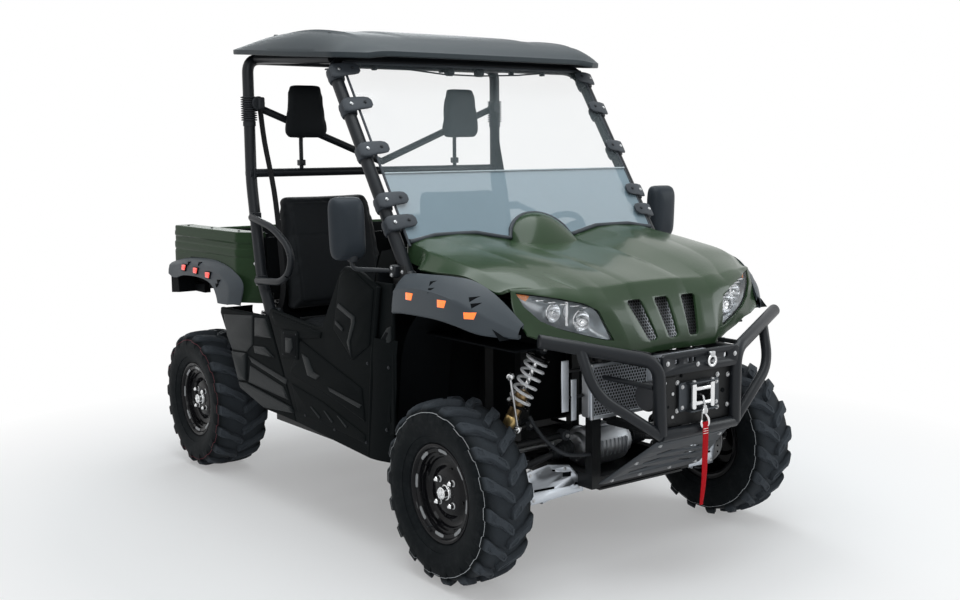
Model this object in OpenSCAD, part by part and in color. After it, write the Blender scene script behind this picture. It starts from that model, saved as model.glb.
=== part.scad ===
// A side by side utility vehicle: two seats in an open cab, a tipping cargo bed,
// a tubular bumper guard with a winch, and four independently sprung wheels.
// Front is -Y, the vehicle's right is -X, up is +Z. The origin is on the ground,
// below the middle of the outer box. Lengths are millimetres. Pieces are drawn with y
// counted from a datum between the axles, and "placed" moves them to the origin.

/* [Wheels] */
// Outer radius of the tyres
tyre_r = 317.5; // [300:0.5:325]
// Width of the front tyres
front_tyre_w = 203; // [180:1:230]
// Width of the rear tyres
rear_tyre_w = 254; // [230:1:280]
// Bead seat radius of the rims
rim_r = 152; // [140:1:160]
// Y of the front axle
front_axle_y = -850; // [-870:1:-840]
// Y of the rear axle
rear_axle_y = 1130; // [1120:1:1150]
// X of the middle of a front tyre
front_track_x = 648; // [640:1:660]
// X of the middle of a rear tyre
rear_track_x = 625; // [615:1:635]

/* [Cab] */
// Outer face of the side panels
panel_x = 720; // [715:1:725]
// Height of the floor
floor_z = 400; // [395:1:410]
// Centre of each seat from the middle
seat_x = 360; // [350:1:370]
// Width of each seat
seat_w = 500; // [480:1:504]

/* [Cage] */
// Radius of the cage tubes
cage_r = 24; // [20:1:26]
// Half distance between the cage uprights
cage_x = 626; // [620:1:632]
// Radius of the bumper guard tubes
guard_r = 22; // [18:1:25]

/* [Bed] */
// Half width of the load space
bed_x = 600; // [580:1:610]
// Outer face of the bed's sides
bed_side_x = 700; // [690:1:710]
// Height of the bed floor
bed_floor_z = 850; // [845:1:860]
// Height of the bed rim
bed_top_z = 1118; // [1100:1:1130]

/* [Hidden] */
$fn = 48;

datum_y = -34;               // y of the datum from the origin
axle_z = tyre_r;
kingpin_x = 540;             // steering axis
bed_y = [606, 1352];         // front of the bed and rear of its floor
bed_wall = 18;
bed_end_y = 1376;            // rear faces of the tailgate and posts
bed_pivot = [1235, 785];     // y and z of the bed's hinge pin
gate_pivot = [1366, 866];    // and of the tailgate's
hinge_pin_r = 10;
lug_bore_r = hinge_pin_r + 0.1;
pillar_top = [-18, 1806];    // y and z of a front pillar's top
pillar_low = [-548, 1010];   // and of its foot
hoop_x = 655;                // rear hoop
hoop_y = 622;
hoop_top_z = 1850;
tube_sides = 12;

// ---- helpers -------------------------------------------------------------

module placed() translate([0, datum_y, 0]) children();

module box(lo, hi) translate(lo) cube(hi - lo);

module both_sides() {
    children();
    mirror([1, 0, 0]) children();
}

function unit(v) = v / max(norm(v), 1e-9);
function last(v) = v[len(v) - 1];

// Tangent of a path at point i
function heading(p, i) =
    unit((i < len(p) - 1 ? unit(p[i + 1] - p[i]) : [0, 0, 0]) + (i > 0 ? unit(p[i] - p[i - 1]) : [0, 0, 0]));

// Rounds the inner corners of a path, starting "cut" before each corner
function rounded(p, cut = 60, steps = 4) = [
    p[0],
    for (i = [1 : len(p) - 2])
        let (a = p[i] + unit(p[i - 1] - p[i]) * cut, b = p[i] + unit(p[i + 1] - p[i]) * cut)
            for (k = [0 : steps])
                let (t = k / steps) a * (1 - t) * (1 - t) + p[i] * 2 * t * (1 - t) + b * t * t,
    last(p)];

// Round tube of radius r swept along a path
module tube(p, r, n = tube_sides) {
    m = len(p);
    points = [for (i = [0 : m - 1])
        let (d = heading(p, i),
             ref = abs(d[2]) > 0.94 ? [0, 1, 0] : [0, 0, 1],
             u = unit(cross(ref, d)), v = cross(d, u))
            for (k = [0 : n - 1]) p[i] + r * (cos(360 * k / n) * u + sin(360 * k / n) * v)];
    faces = concat(
        [[for (k = [0 : n - 1]) k]],
        [[for (k = [0 : n - 1]) (m - 1) * n + n - 1 - k]],
        [for (i = [0 : m - 2]) for (k = [0 : n - 1])
            let (a = i * n + k, b = i * n + (k + 1) % n) each [[a, a + n, b], [b, a + n, b + n]]]);
    polyhedron(points, faces, convexity = 6);
}

// Rod between two points, an exact cylinder
module rod(a, b, r) {
    d = b - a;
    translate(a)
        rotate([0, acos(d[2] / norm(d)), atan2(d[1], d[0])])
            cylinder(h = norm(d), r = r);
}

// Closed skin between two grids of points of the same size: rows run along, columns across
module skin(top, low) {
    r = len(top);
    c = len(top[0]);
    n = r * c;
    points = concat([for (row = top) each row], [for (row = low) each row]);
    function quad(a, b, d, e) = [[a, b, d], [a, d, e]];
    faces = concat(
        [for (i = [0 : r - 2]) for (j = [0 : c - 2])
            let (a = i * c + j) each quad(a, a + 1, a + c + 1, a + c)],
        [for (i = [0 : r - 2]) for (j = [0 : c - 2])
            let (a = n + i * c + j) each quad(a, a + c, a + c + 1, a + 1)],
        [for (j = [0 : c - 2]) each quad(j + 1, j, n + j, n + j + 1)],
        [for (j = [0 : c - 2]) let (a = (r - 1) * c + j) each quad(a, a + 1, n + a + 1, n + a)],
        [for (i = [0 : r - 2]) let (a = i * c) each quad(a, a + c, n + a + c, n + a)],
        [for (i = [0 : r - 2]) let (a = i * c + c - 1) each quad(a + c, a, n + a, n + a + c)]);
    polyhedron(points, faces, convexity = 8);
}

// Plate: an outline in (y, z), from x0 to x1
module side_plate(outline, x0, x1)
    translate([x0, 0, 0]) rotate([90, 0, 90]) linear_extrude(x1 - x0) polygon(outline);

// ---- wheels --------------------------------------------------------------

stub_r = 24;                 // stub axle, hub, and the rim's bore on the hub
hub_r = 27.9;
hub_bore_r = 28;
stud_r = 55;                 // circle of the wheel studs
disc_r = 100;                // brake disc

// Half of the tyre's section: radius, and distance in from the sidewall
tyre_section = [
    [rim_r, 34], [rim_r + 19, 32], [rim_r + 48, 8], [rim_r + 88, 0],
    [rim_r + 130, 6], [tyre_r - 10, 24], [tyre_r, 60]];

module tyre(x, y, w) color("#23262a") placed()
    translate([x, y, axle_z]) rotate([0, 90, 0]) rotate_extrude($fn = 96)
        polygon(concat(
            [for (p = tyre_section) [p[0], w / 2 - p[1]]],
            [for (i = [len(tyre_section) - 1 : -1 : 0]) [tyre_section[i][0], tyre_section[i][1] - w / 2]]));

// The rim: a barrel, two flanges, a dished disc with a centre bore and four stud holes,
// and the brake disc behind it. out is -1 on the vehicle's right and 1 on its left.
module rim(x, y, w, out) color("#101114") placed()
    translate([x, y, axle_z]) rotate([0, 90, 0]) {
        barrel = w / 2 - 24;
        face = out * (w / 2 - 62);
        rotate_extrude($fn = 96) polygon([
            [rim_r - 10, -barrel], [rim_r + 18, -barrel], [rim_r + 18, -barrel + 8],
            [rim_r, -barrel + 10], [rim_r, barrel - 10], [rim_r + 18, barrel - 8],
            [rim_r + 18, barrel], [rim_r - 10, barrel]]);
        difference() {
            translate([0, 0, face - 5]) cylinder(h = 10, r = rim_r - 4, $fn = 96);
            translate([0, 0, face - 20]) cylinder(h = 40, r = hub_bore_r);
            for (k = [0 : 3])
                rotate(45 + 90 * k) translate([stud_r, 0, face - 20]) cylinder(h = 40, r = 6);
        }
    }

// ---- front corner --------------------------------------------------------

// Upright with its stub and steering arm; s is -1 on the vehicle's right
module knuckle(s) color("#2a2c2e") placed() {
    inner = s * (kingpin_x + 4);
    hub = s * (front_track_x + front_tyre_w / 2 - 60);
    pin = s * kingpin_x;
    y = front_axle_y;
    rod([inner, y, axle_z], [hub - s * 8, y, axle_z], stub_r);
    rod([hub - s * 8, y, axle_z], [hub + s * 30, y, axle_z], hub_r);
    rod([pin, y, axle_z - 88], [pin, y, axle_z + 88], 17);
    rod([pin + s * 24, y, axle_z], [pin + s * 34, y, axle_z], disc_r);
    box([pin - 12, y, axle_z + 18], [pin + 12, y + 112, axle_z + 34]);
}

// Wishbone with its ball at the outer end. y is the wheel's axle.
module arm(inner, outer, span, y, r) {
    for (k = [-1, 1])
        rod([inner[0], y + k * span, inner[1]], [outer[0], y + k * 10, outer[1]], r);
    rod([outer[0], y, outer[1] - 11], [outer[0], y, outer[1] + 11], 22);
}

module front_arms() color("#17181a") placed() both_sides() {
    arm([258, 330], [kingpin_x, axle_z - 110], 120, front_axle_y, 13);
    arm([258, 470], [kingpin_x, axle_z + 112], 100, front_axle_y, 12);
}

module rear_arms() color("#17181a") placed() both_sides() {
    arm([258, 330], [470, axle_z - 80], 120, rear_axle_y, 13);
    arm([258, 480], [470, axle_z + 110], 100, rear_axle_y, 12);
    rod([470, rear_axle_y, axle_z - 80], [470, rear_axle_y, axle_z + 110], 17);
    rod([470, rear_axle_y, axle_z], [rear_track_x + 55, rear_axle_y, axle_z], hub_r);
}

// Spring and damper units: foot, top
shock_ends = [
    [[436, front_axle_y + 2, 486], [340, front_axle_y - 80, 780]],
    [[420, rear_axle_y + 2, 484], [345, rear_axle_y - 50, 716]]];

module shocks() color("#c9ccd0") placed() both_sides() for (e = shock_ends) {
    along = unit(e[1] - e[0]);
    rod(e[0], e[1], 16);
    rod(e[0] + along * 110, e[1] - along * 26, 40);
}

module half_shafts() color("#1c1d1f") placed() both_sides() {
    rod([128, front_axle_y, 390], [kingpin_x - 26, front_axle_y, axle_z + 4], 14);
    rod([128, rear_axle_y, 390], [446, rear_axle_y, axle_z + 6], 14);
}

module differentials() color("#9a9ea2") placed() {
    rod([-125, front_axle_y, 380], [125, front_axle_y, 380], 72);
    rod([-125, rear_axle_y, 380], [125, rear_axle_y, 380], 72);
}

// Guards under the front arms: x, y and z of their corners
guard_plate = [[[262, -1010, 292], [486, -945, 196]], [[262, -770, 292], [486, -790, 196]]];
module arm_guards() color("#aeb4ba") placed() both_sides()
    skin(guard_plate, [for (row = guard_plate) [for (p = row) p - [0, 0, 6]]]);

module tie_rods() color("#3a3d40") placed() {
    rod([-505, front_axle_y + 100, axle_z + 60], [505, front_axle_y + 100, axle_z + 60], 9);
    rod([-150, front_axle_y + 100, axle_z + 60], [150, front_axle_y + 100, axle_z + 60], 22);
    for (s = [-1, 1]) {
        eye = [s * kingpin_x, front_axle_y + 100, axle_z + 44];
        rod(eye, eye + [0, 0, 24], 14);
        rod([s * 500, eye[1], axle_z + 60], [eye[0] - s * 5, eye[1], axle_z + 60], 9);
    }
}

// ---- chassis -------------------------------------------------------------

rail_x = [200, 240];         // long rails, and the uprights on them
rail_z = [296, 346];
front_top = [757, 792];      // upper rails, in front of the cab and under the bed
rear_top = [735, 770];
seam = 0.2;                  // between members, each a solid of its own
lower_bars = [-1080, -690, -400, 0, 385, 930, 1240];
front_posts = [-1080, -690, -471];
rear_posts = [470, 1240];

module frame_rails() color("#141517") placed() both_sides() {
    box([rail_x[0], -1080, rail_z[0]], [rail_x[1], 1280, rail_z[1]]);
    box([655, -360, 350], [690, 385, 386]);
}

module frame_crossbars() color("#141517") placed() {
    for (y = lower_bars) box([seam - rail_x[0], y, 300], [rail_x[0] - seam, y + 35, 335]);
    for (y = [-1080, -471])
        box([seam - rail_x[0], y, front_top[0]], [rail_x[0] - seam, y + 35, front_top[1]]);
    for (y = rear_posts)
        box([seam - rail_x[0], y, rear_top[0]], [rail_x[0] - seam, y + 35, rear_top[1]]);
    both_sides() for (y = [-340, 330]) box([rail_x[0], y, rail_z[1] + seam], [655 - seam, y + 35, 386]);
}

module frame_uprights() color("#141517") placed() both_sides() {
    for (y = front_posts)
        box([rail_x[0], y, rail_z[1] + seam], [rail_x[1], y + 35, front_top[0] - seam]);
    for (y = rear_posts)
        box([rail_x[0], y, rail_z[1] + seam], [rail_x[1], y + 35, rear_top[0] - seam]);
    // Pads that carry the wishbones and shock absorbers
    for (y = [-985, -745]) box([rail_x[1] + seam, y, 316], [rail_x[1] + 10, y + 30, 344]);
    for (y = [1000, 1245]) box([rail_x[1] + seam, y - 15, 316], [rail_x[1] + 10, y + 15, 344]);
    box([rail_x[0], -952, front_top[1] + seam], [362, -908, front_top[1] + 8]);
    box([rail_x[0], 1060, rear_top[1] + seam], [240, 1110, rear_top[1] + 8]);
    box([rail_x[1] + seam, 1062, rear_top[0]], [366, 1100, rear_top[0] + 8]);
    // Lugs for the bed's hinge pins
    difference() {
        box([260, bed_pivot[0] - 20, 740], [274, bed_pivot[0] + 20, bed_pivot[1] + 20]);
        translate([250, bed_pivot[0], bed_pivot[1]]) rotate([0, 90, 0])
            cylinder(h = 40, r = lug_bore_r);
    }
}

module frame_upper() color("#141517") placed() both_sides() {
    box([rail_x[0], -1080, front_top[0]], [rail_x[1], -436, front_top[1]]);
    box([rail_x[0], 431, rear_top[0]], [rail_x[1], 1275, rear_top[1]]);
}

// Towing tongue with its ball hole
module hitch() color("#141517") placed() {
    difference() {
        box([-38, 1290, 372], [38, 1385, 384]);
        translate([0, 1355, 360]) cylinder(h = 40, r = 9.7, $fn = 64);
    }
    box([-60, 1276, 300], [60, 1290, 420]);
}

module engine() color("#55585c") placed() box([-190, 480, 350], [190, 860, 720]);

module muffler() color("#4c4e50") placed()
    rod([-200, 1290, 560], [200, 1290, 560], 70);

module radiator() color("#9aa0a6") placed()
    box([-300, -1140, 560], [300, -1085, 752]);

module bash_plate() color("#33373b") placed()
    skin([[[-170, -1322, 500], [170, -1322, 500]], [[-250, -1120, 330], [250, -1120, 330]]],
         [[[-170, -1328, 494], [170, -1328, 494]], [[-250, -1126, 322], [250, -1126, 322]]]);

// ---- bumper guard and winch ---------------------------------------------

guard_corner = [186, -1340, 775];
guard_tip = [566, -1190, 864];
guard_foot = [178, -1346, 528];
guard_joint = [441, -1241, 835];
guard_elbow = [420, -1290, 690];

module bumper_guard() color("#141518") placed() {
    both_sides() {
        tube(rounded([guard_foot, guard_corner, guard_tip], 55), guard_r);
        tube(rounded([guard_joint, guard_elbow, guard_foot], 60), guard_r - 5);
        box([150, -1330, 520], [178, -1080, 548]);
        box([205, -1330, 758], [233, -1080, 784]);
    }
    rod([-178, -1346, 528], [178, -1346, 528], guard_r - 2);
    difference() {
        box([-176, -1366, 735], [176, -1312, 797]);
        for (x = [-110, 110]) translate([x, -1400, 768]) rotate([-90, 0, 0]) cylinder(h = 120, r = 9);
    }
    box([-176, -1338, 545], [176, -1332, 735]);
}

module winch() color("#8f959b") placed() {
    box([-70, -1356, 600], [70, -1346, 690]);
    for (x = [-52, 52]) rod([x, -1370, 602], [x, -1370, 688], 10);
    rod([-160, -1250, 640], [160, -1250, 640], 48);
}

// ---- bodywork ------------------------------------------------------------

// Hood rings from the windshield to the lip of the nose. Each is half of a ring, as x, y and z of
// its middle, inner crease, ridge, fender crest, shoulder and lower edge.
hood_rings = [
    [[0, -468, 1122], [150, -468, 1126], [300, -468, 1150],
     [480, -470, 1150], [580, -478, 1134], [596, -492, 1070]],
    [[0, -580, 1100], [150, -580, 1104], [300, -580, 1131],
     [472, -580, 1131], [586, -580, 1116], [598, -580, 1056]],
    [[0, -650, 1090], [150, -650, 1094], [296, -650, 1118],
     [460, -650, 1118], [600, -650, 1104], [650, -650, 1052]],
    [[0, -750, 1078], [150, -750, 1082], [288, -750, 1104],
     [440, -750, 1104], [600, -750, 1088], [652, -750, 1048]],
    [[0, -900, 1052], [140, -900, 1056], [268, -900, 1074],
     [420, -900, 1074], [592, -900, 1062], [636, -900, 1043]],
    [[0, -1030, 1024], [134, -1030, 1027], [252, -1030, 1034],
     [400, -1020, 1036], [565, -985, 1030], [602, -1010, 1000]],
    [[0, -1118, 1003], [130, -1120, 1002], [250, -1120, 997],
     [350, -1108, 999], [480, -1080, 1006], [570, -1046, 1010]],
    [[0, -1150, 956], [130, -1152, 955], [250, -1160, 954],
     [350, -1154, 962], [480, -1102, 982], [574, -1060, 960]],
    [[0, -1186, 890], [120, -1188, 890], [230, -1192, 890],
     [360, -1166, 894], [484, -1112, 915], [566, -1080, 912]],
    [[0, -1218, 825], [110, -1219, 825], [214, -1218, 826],
     [366, -1168, 846], [494, -1122, 866], [556, -1100, 884]],
    [[0, -1222, 783], [100, -1224, 783], [200, -1226, 783],
     [372, -1170, 826], [500, -1126, 850], [552, -1110, 868]]];
hood_top_rings = 7;          // rings on the upper surface, before the nose turns down
hood_t = 12;

// Whole ring, moved inwards by d: in x, back in y, and down
function hood_ring(r, d) = concat(
    [for (k = [5 : -1 : 1]) [-(r[k][0] - d[0]), r[k][1] - d[1], r[k][2] - d[2]]],
    [for (k = [0 : 5]) [max(r[k][0] - d[0], 0), r[k][1] - d[1], r[k][2] - d[2]]]);

// How far the inner face of ring i lies inside the outer one
function hood_inside(i) = i < hood_top_rings ? [8, 0, hood_t] : [8, -hood_t, 3];

module hood() color("#3a4a2c") placed()
    skin([for (r = hood_rings) hood_ring(r, [0, 0, 0])],
         [for (i = [0 : len(hood_rings) - 1]) hood_ring(hood_rings[i], hood_inside(i))]);

module grille() color("#17181a") placed()
    skin([[[-215, -1128, 960], [215, -1128, 960]], [[-170, -1196, 800], [170, -1196, 800]]],
         [[[-215, -1118, 958], [215, -1118, 958]], [[-170, -1186, 798], [170, -1186, 798]]]);

// Flares over the front wheels: y, then x and z of the seam with the hood, of the fold, and of
// the lower edge
front_flare_rows = [
    [-572, 668, 1030, 714, 978, 722, 908],
    [-640, 668, 1040, 718, 994, 728, 916],
    [-740, 668, 1044, 718, 1000, 728, 918],
    [-850, 656, 1045, 714, 992, 724, 916],
    [-940, 636, 1036, 702, 972, 712, 904],
    [-1020, 608, 994, 664, 936, 672, 880],
    [-1108, 566, 906, 584, 884, 586, 868]];

flare_t = 12;
module front_flares() color("#3c4147") placed() both_sides()
    skin([for (r = front_flare_rows) [[r[1], r[0], r[2]], [r[3], r[0], r[4]], [r[5], r[0], r[6]]]],
         [for (r = front_flare_rows) [
             [r[1] + 4, r[0], r[2] - flare_t - 2], [r[3] - flare_t, r[0], r[4] - 8],
             [r[5] - flare_t, r[0], r[6]]]]);

// Liners above and behind the front wheels
module inner_fenders() color("#17181a") placed() both_sides() {
    box([420, -1050, 806], [556, -460, 814]);
    box([420, -1050, 814], [428, -460, 1000]);
    side_plate([[-540, 460], [-432, 412], [-432, 1000], [-545, 1000], [-545, 860]], 690, 700);
}

module headlights() color("#8d949b") placed() both_sides()
    skin([[[300, -1140, 930], [520, -1052, 972]], [[272, -1176, 846], [476, -1090, 900]]],
         [[[300, -1120, 926], [520, -1032, 968]], [[272, -1156, 842], [476, -1070, 896]]]);

// Footwell: floor, front wall, tunnel and the shelf under the hood's rear edge
module floor_tub() color("#191a1c") placed() {
    box([-700, -424, floor_z - 12], [700, 60, floor_z]);
    box([-684, -430, floor_z - 20], [684, -418, 1040]);
    box([-110, -424, floor_z - 12], [110, 60, 520]);
}

module dash() color("#1b1c1e") placed()
    skin([[[-600, -412, 1116], [600, -412, 1116]], [[-600, -300, 1080], [600, -300, 1080]],
          [[-600, -262, 940], [600, -262, 940]], [[-600, -320, 820], [600, -320, 820]]],
         [[[-600, -416, 1040], [600, -416, 1040]], [[-600, -380, 1000], [600, -380, 1000]],
          [[-600, -380, 900], [600, -380, 900]], [[-600, -380, 826], [600, -380, 826]]]);

// Bracket and tube that carry the steering wheel, and the two pedals
module steering_column() color("#1b1c1e") placed() {
    rod(column_top - column_axis * 34, column_top - column_axis * 112, 22);
    for (x = [270, 380]) {
        box([x - 30, -396, 470], [x + 30, -388, 540]);
        rod([x, -404, 560], [x, -396, 500], 6);
    }
}

// Lower body sides, in (y, z)
side_outline = [[-391, 380], [155, 414], [377, 800], [360, 822], [-20, 790], [-70, 800],
    [-215, 1020], [-250, 1042], [-330, 1040], [-470, 985], [-429, 740]];
rear_outline = [[160, 410], [440, 387], [673, 459], [734, 593], [846, 755], [840, 780], [388, 786]];

module side_panels() color("#1c1e20") placed() both_sides()
    side_plate(side_outline, panel_x - 18, panel_x);

module rear_panels() color("#1c1e20") placed() both_sides() {
    side_plate(rear_outline, panel_x - 20, panel_x - 2);
    box([630, 428, 640], [panel_x - 20, 438, 780]);
}

// ---- cab -----------------------------------------------------------------

module seat_base() color("#191a1c") placed() {
    box([-684, 70, 401], [684, 376, 684]);
}

module seat_cushions() color("#1d1e20") placed() both_sides()
    box([seat_x - seat_w / 2, 0, 690], [seat_x + seat_w / 2, 372, 775]);

seat_edge = [seat_x - seat_w / 2, seat_x + seat_w / 2];
module seat_backs() color("#1d1e20") placed() both_sides()
    skin([[[seat_edge[0], 380, 780], [seat_edge[1], 380, 780]],
          [[seat_edge[0] + 30, 500, 1297], [seat_edge[1] - 30, 500, 1297]]],
         [[[seat_edge[0], 462, 780], [seat_edge[1], 462, 780]],
          [[seat_edge[0] + 30, 570, 1297], [seat_edge[1] - 30, 570, 1297]]]);

module headrests() color("#1a1b1d") placed() both_sides()
    skin([[[322, 544, 1530], [502, 544, 1530]], [[345, 552, 1738], [479, 552, 1738]]],
         [[[322, 600, 1530], [502, 600, 1530]], [[345, 600, 1738], [479, 600, 1738]]]);

// ---- cage ----------------------------------------------------------------

module cage_front() color("#1d2023") placed() {
    tube(rounded([
        [cage_x, pillar_low[0], pillar_low[1]], [cage_x, pillar_top[0], pillar_top[1]],
        [-cage_x, pillar_top[0], pillar_top[1]], [-cage_x, pillar_low[0], pillar_low[1]]], 70), cage_r);
}

hoop_side = [
    [hoop_x, 470, 764], [hoop_x, 497, 834], [hoop_x, 548, 907],
    [hoop_x, hoop_y, 1342], [hoop_x, hoop_y, hoop_top_z]];

module cage_rear() color("#1d2023") placed() {
    other_side = [for (i = [len(hoop_side) - 1 : -1 : 0]) let (p = hoop_side[i]) [-p[0], p[1], p[2]]];
    tube(rounded(concat(hoop_side, other_side), 34), cage_r);
    tube([[-hoop_x, hoop_y, 1372], [hoop_x, hoop_y, 1372]], 18);
    both_sides() tube([[hoop_x, hoop_y, 1665], [0, hoop_y, 1412]], 16);
    for (x = [-412, 412]) tube([[x, hoop_y, 1500], [x, hoop_y, 1720]], 9);
}

module cage_rails() color("#1d2023") placed() both_sides()
    tube([[cage_x - 30, pillar_top[0] + 34, pillar_top[1] + 12],
          [hoop_x - 30, hoop_y - 34, hoop_top_z - 4]], 20);

// Roof sections from front to back: y, lip z, crown z, half width
roof_rows = [
    [-190, 1826, 1836, 560],
    [-120, 1830, 1880, 655],
    [0, 1838, 1925, 672],
    [250, 1856, 1956, 688],
    [520, 1878, 1950, 692],
    [680, 1890, 1924, 688],
    [740, 1896, 1904, 640]];
roof_t = 16;
// Share of the half width, share of the crown's rise
roof_shape = [
    [-1, 0], [-0.93, 0.45], [-0.8, 0.8], [-0.45, 0.95], [0, 1],
    [0.45, 0.95], [0.8, 0.8], [0.93, 0.45], [1, 0]];

function roof_row(r, down, inset) = [for (s = roof_shape)
    [s[0] * (r[3] - inset), r[0], r[1] + s[1] * (r[2] - r[1]) - down]];

module roof() color("#2b2f33") placed()
    skin([for (i = [len(roof_rows) - 1 : -1 : 0]) roof_row(roof_rows[i], 0, 0)],
         [for (i = [len(roof_rows) - 1 : -1 : 0]) roof_row(roof_rows[i], roof_t, 4)]);

// ---- glass, mirrors, bars ------------------------------------------------

// Y of the pillars' line at height z
function screen_y(z) =
    pillar_low[0] + (z - pillar_low[1]) * (pillar_top[0] - pillar_low[0]) / (pillar_top[1] - pillar_low[1]);

function screen_row(z, half_w, off) =
    [[-half_w, screen_y(z) - off, z], [half_w, screen_y(z) - off, z]];

module screen(z0, z1, half_w, off, t)
    skin([screen_row(z1, half_w, off), screen_row(z0, half_w, off)],
         [screen_row(z1, half_w, off - t), screen_row(z0, half_w, off - t)]);

module windshield_upper() color("#c8dadd", 0.4) placed() screen(1382, 1796, 600, 46, 6);
module windshield_lower() color("#8fa3a8", 0.6) placed() screen(1168, 1379, 600, 46, 6);

clamp_z = [1188, 1268, 1450, 1615, 1745];
module windshield_clamps() color("#2b2f33") placed() both_sides() for (z = clamp_z)
    translate([598, screen_y(z) - 54, z]) rotate([-33, 0, 0]) box([-34, -10, -28], [48, 4, 28]);

module mirrors() color("#25282b") placed() both_sides() {
    box([714, -425, 1078], [850, -365, 1304]);
    rod([cage_x + 34, -440, 1110], [716, -400, 1120], 8);
}

bar_path = [
    [714, 514, 1192], [700, 349, 1155], [690, 225, 1079],
    [690, 213, 999], [700, 276, 937], [714, 478, 928]];
module side_bars() color("#1d2023") placed() both_sides() tube(rounded(bar_path, 50), 14);

module seat_belts() color("#232427") placed() both_sides()
    skin([[[622, 572, 1640], [624, 596, 1640]], [[618, 470, 790], [620, 500, 790]]],
         [[[626, 572, 1640], [628, 596, 1640]], [[622, 470, 790], [624, 500, 790]]]);

module hook_strap() color("#d3202c") placed() box([-14, -1379.5, 268], [14, -1375.5, 570]);

// ---- steering ------------------------------------------------------------

column_top = [330, -170, 1070];
column_axis = unit([0, 0.75, 0.66]);
module steering_wheel() color("#1b1c1e") placed()
    translate(column_top) rotate([-acos(column_axis[2]), 0, 0]) {
        rotate_extrude() translate([165, 0]) circle(r = 14, $fn = 24);
        cylinder(h = 20, r = 40, center = true);
        for (k = [0 : 2]) rotate(90 + 120 * k) translate([30, -12, -6]) cube([125, 24, 10]);
    }

// ---- bed -----------------------------------------------------------------

module cargo_bed() color("#1a1c1d") placed() {
    outer = bed_x + bed_wall;
    difference() {
        box([-outer, bed_y[0], bed_floor_z - 20], [outer, bed_y[1], bed_top_z - 22]);
        box([-bed_x, bed_y[0] + bed_wall, bed_floor_z], [bed_x, bed_y[1] + 10, bed_top_z + 10]);
    }
    both_sides() box([250, bed_y[0] + 30, 790], [290, 1190, bed_floor_z - 20]);
    both_sides() box([290, 1140, 800], [306, 1260, bed_floor_z - 20]);
}

// Pin through the frame's lugs, with ears up to the bed's floor
module bed_hinge() color("#3a3d40") placed() both_sides() {
    rod([262, bed_pivot[0], bed_pivot[1]], [322, bed_pivot[0], bed_pivot[1]], hinge_pin_r);
    box([307, bed_pivot[0] - 12, bed_pivot[1] - 12], [320, bed_pivot[0] + 12, bed_floor_z - 20.5]);
}

// Plan of the bed's side at its rim, and the side's outline in y and z
rim_plan = [[604, bed_y[0]], [630, bed_y[0]], [bed_side_x, 700], [bed_side_x, bed_end_y], [604, bed_end_y]];
corner_plan = [[620, bed_y[0]], [630, bed_y[0]], [bed_side_x, 700], [bed_side_x - 14, 706]];
bed_side_outline = [
    [700, 812], [726, 812], [770, 900], [840, 960], [1000, 985], [1180, 980],
    [1330, 930], [1370, 860], [bed_end_y, 830], [bed_end_y, 1100], [700, 1100]];

module bed_panels() color("#36462a") placed() both_sides() {
    translate([0, 0, bed_top_z - 21]) linear_extrude(21) polygon(rim_plan);
    translate([0, 0, 812]) linear_extrude(bed_top_z - 830) polygon(corner_plan);
    side_plate(bed_side_outline, bed_side_x - 14, bed_side_x);
    box([604, bed_end_y - 20, 830], [bed_side_x - 10, bed_end_y, bed_top_z - 20]);
}

// Flares over the rear wheels: y and z along the seam, then along the lower edge
bed_flare_rows = [
    [672, 802, 812, 802],
    [640, 900, 826, 836],
    [747, 955, 853, 868],
    [860, 978, 903, 890],
    [951, 984, 980, 900],
    [1070, 982, 1080, 902],
    [1180, 976, 1186, 896],
    [1290, 950, 1280, 870],
    [1345, 900, 1326, 800]];
bed_flare_x = [735, 745];    // its crest and its lower edge

// Point between the seam and the lower edge of row r
function flare_crest(r, down) = [r[0] * 0.6 + r[2] * 0.4, r[1] * 0.7 + r[3] * 0.3 - down];
function crest_at(r, x, down) = concat([x], flare_crest(r, down));

module bed_flares() color("#3c4147") placed() both_sides()
    skin([for (r = bed_flare_rows)
             [[bed_side_x + 1, r[0], r[1]], crest_at(r, bed_flare_x[0], 0), [bed_flare_x[1], r[2], r[3]]]],
         [for (r = bed_flare_rows) let (foot = r[0] < 700 ? [12, 0] : [0, 10])
             [[bed_side_x + 1, r[0] + foot[0], r[1] - foot[1]],
              crest_at(r, bed_flare_x[0] - 10, flare_t),
              [bed_flare_x[1] - flare_t, r[2], r[3] - 1]]]);

module tail_lights() color("#b31a1a") placed() both_sides()
    box([616, bed_end_y + 0.5, 950], [688, bed_end_y + 12, 1050]);

module tailgate() color("#36462a") placed() {
    box([-594, bed_end_y - 18, bed_floor_z + 8], [594, bed_end_y, bed_top_z - 24]);
    both_sides() rod([585, gate_pivot[0], gate_pivot[1]], [602, gate_pivot[0], gate_pivot[1]], 5);
}

// ---- what is drawn -------------------------------------------------------

frame_rails();
frame_crossbars();
frame_uprights();
frame_upper();
hitch();
bumper_guard();
winch();
bash_plate();
radiator();
hood();
grille();
front_flares();
inner_fenders();
headlights();
dash();
floor_tub();
side_panels();
rear_panels();
seat_base();
seat_cushions();
seat_backs();
headrests();
cage_front();
cage_rear();
cage_rails();
roof();
windshield_upper();
windshield_lower();
windshield_clamps();
mirrors();
side_bars();
engine();
muffler();
differentials();
half_shafts();
front_arms();
rear_arms();
shocks();
arm_guards();
seat_belts();
hook_strap();
steering_column();
knuckle(-1);  // knuckle_right
knuckle(1);  // knuckle_left
tie_rods();
steering_wheel();
tyre(-front_track_x, front_axle_y, front_tyre_w);  // front_right_tyre
rim(-front_track_x, front_axle_y, front_tyre_w, -1);  // front_right_rim
tyre(front_track_x, front_axle_y, front_tyre_w);  // front_left_tyre
rim(front_track_x, front_axle_y, front_tyre_w, 1);  // front_left_rim
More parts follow.
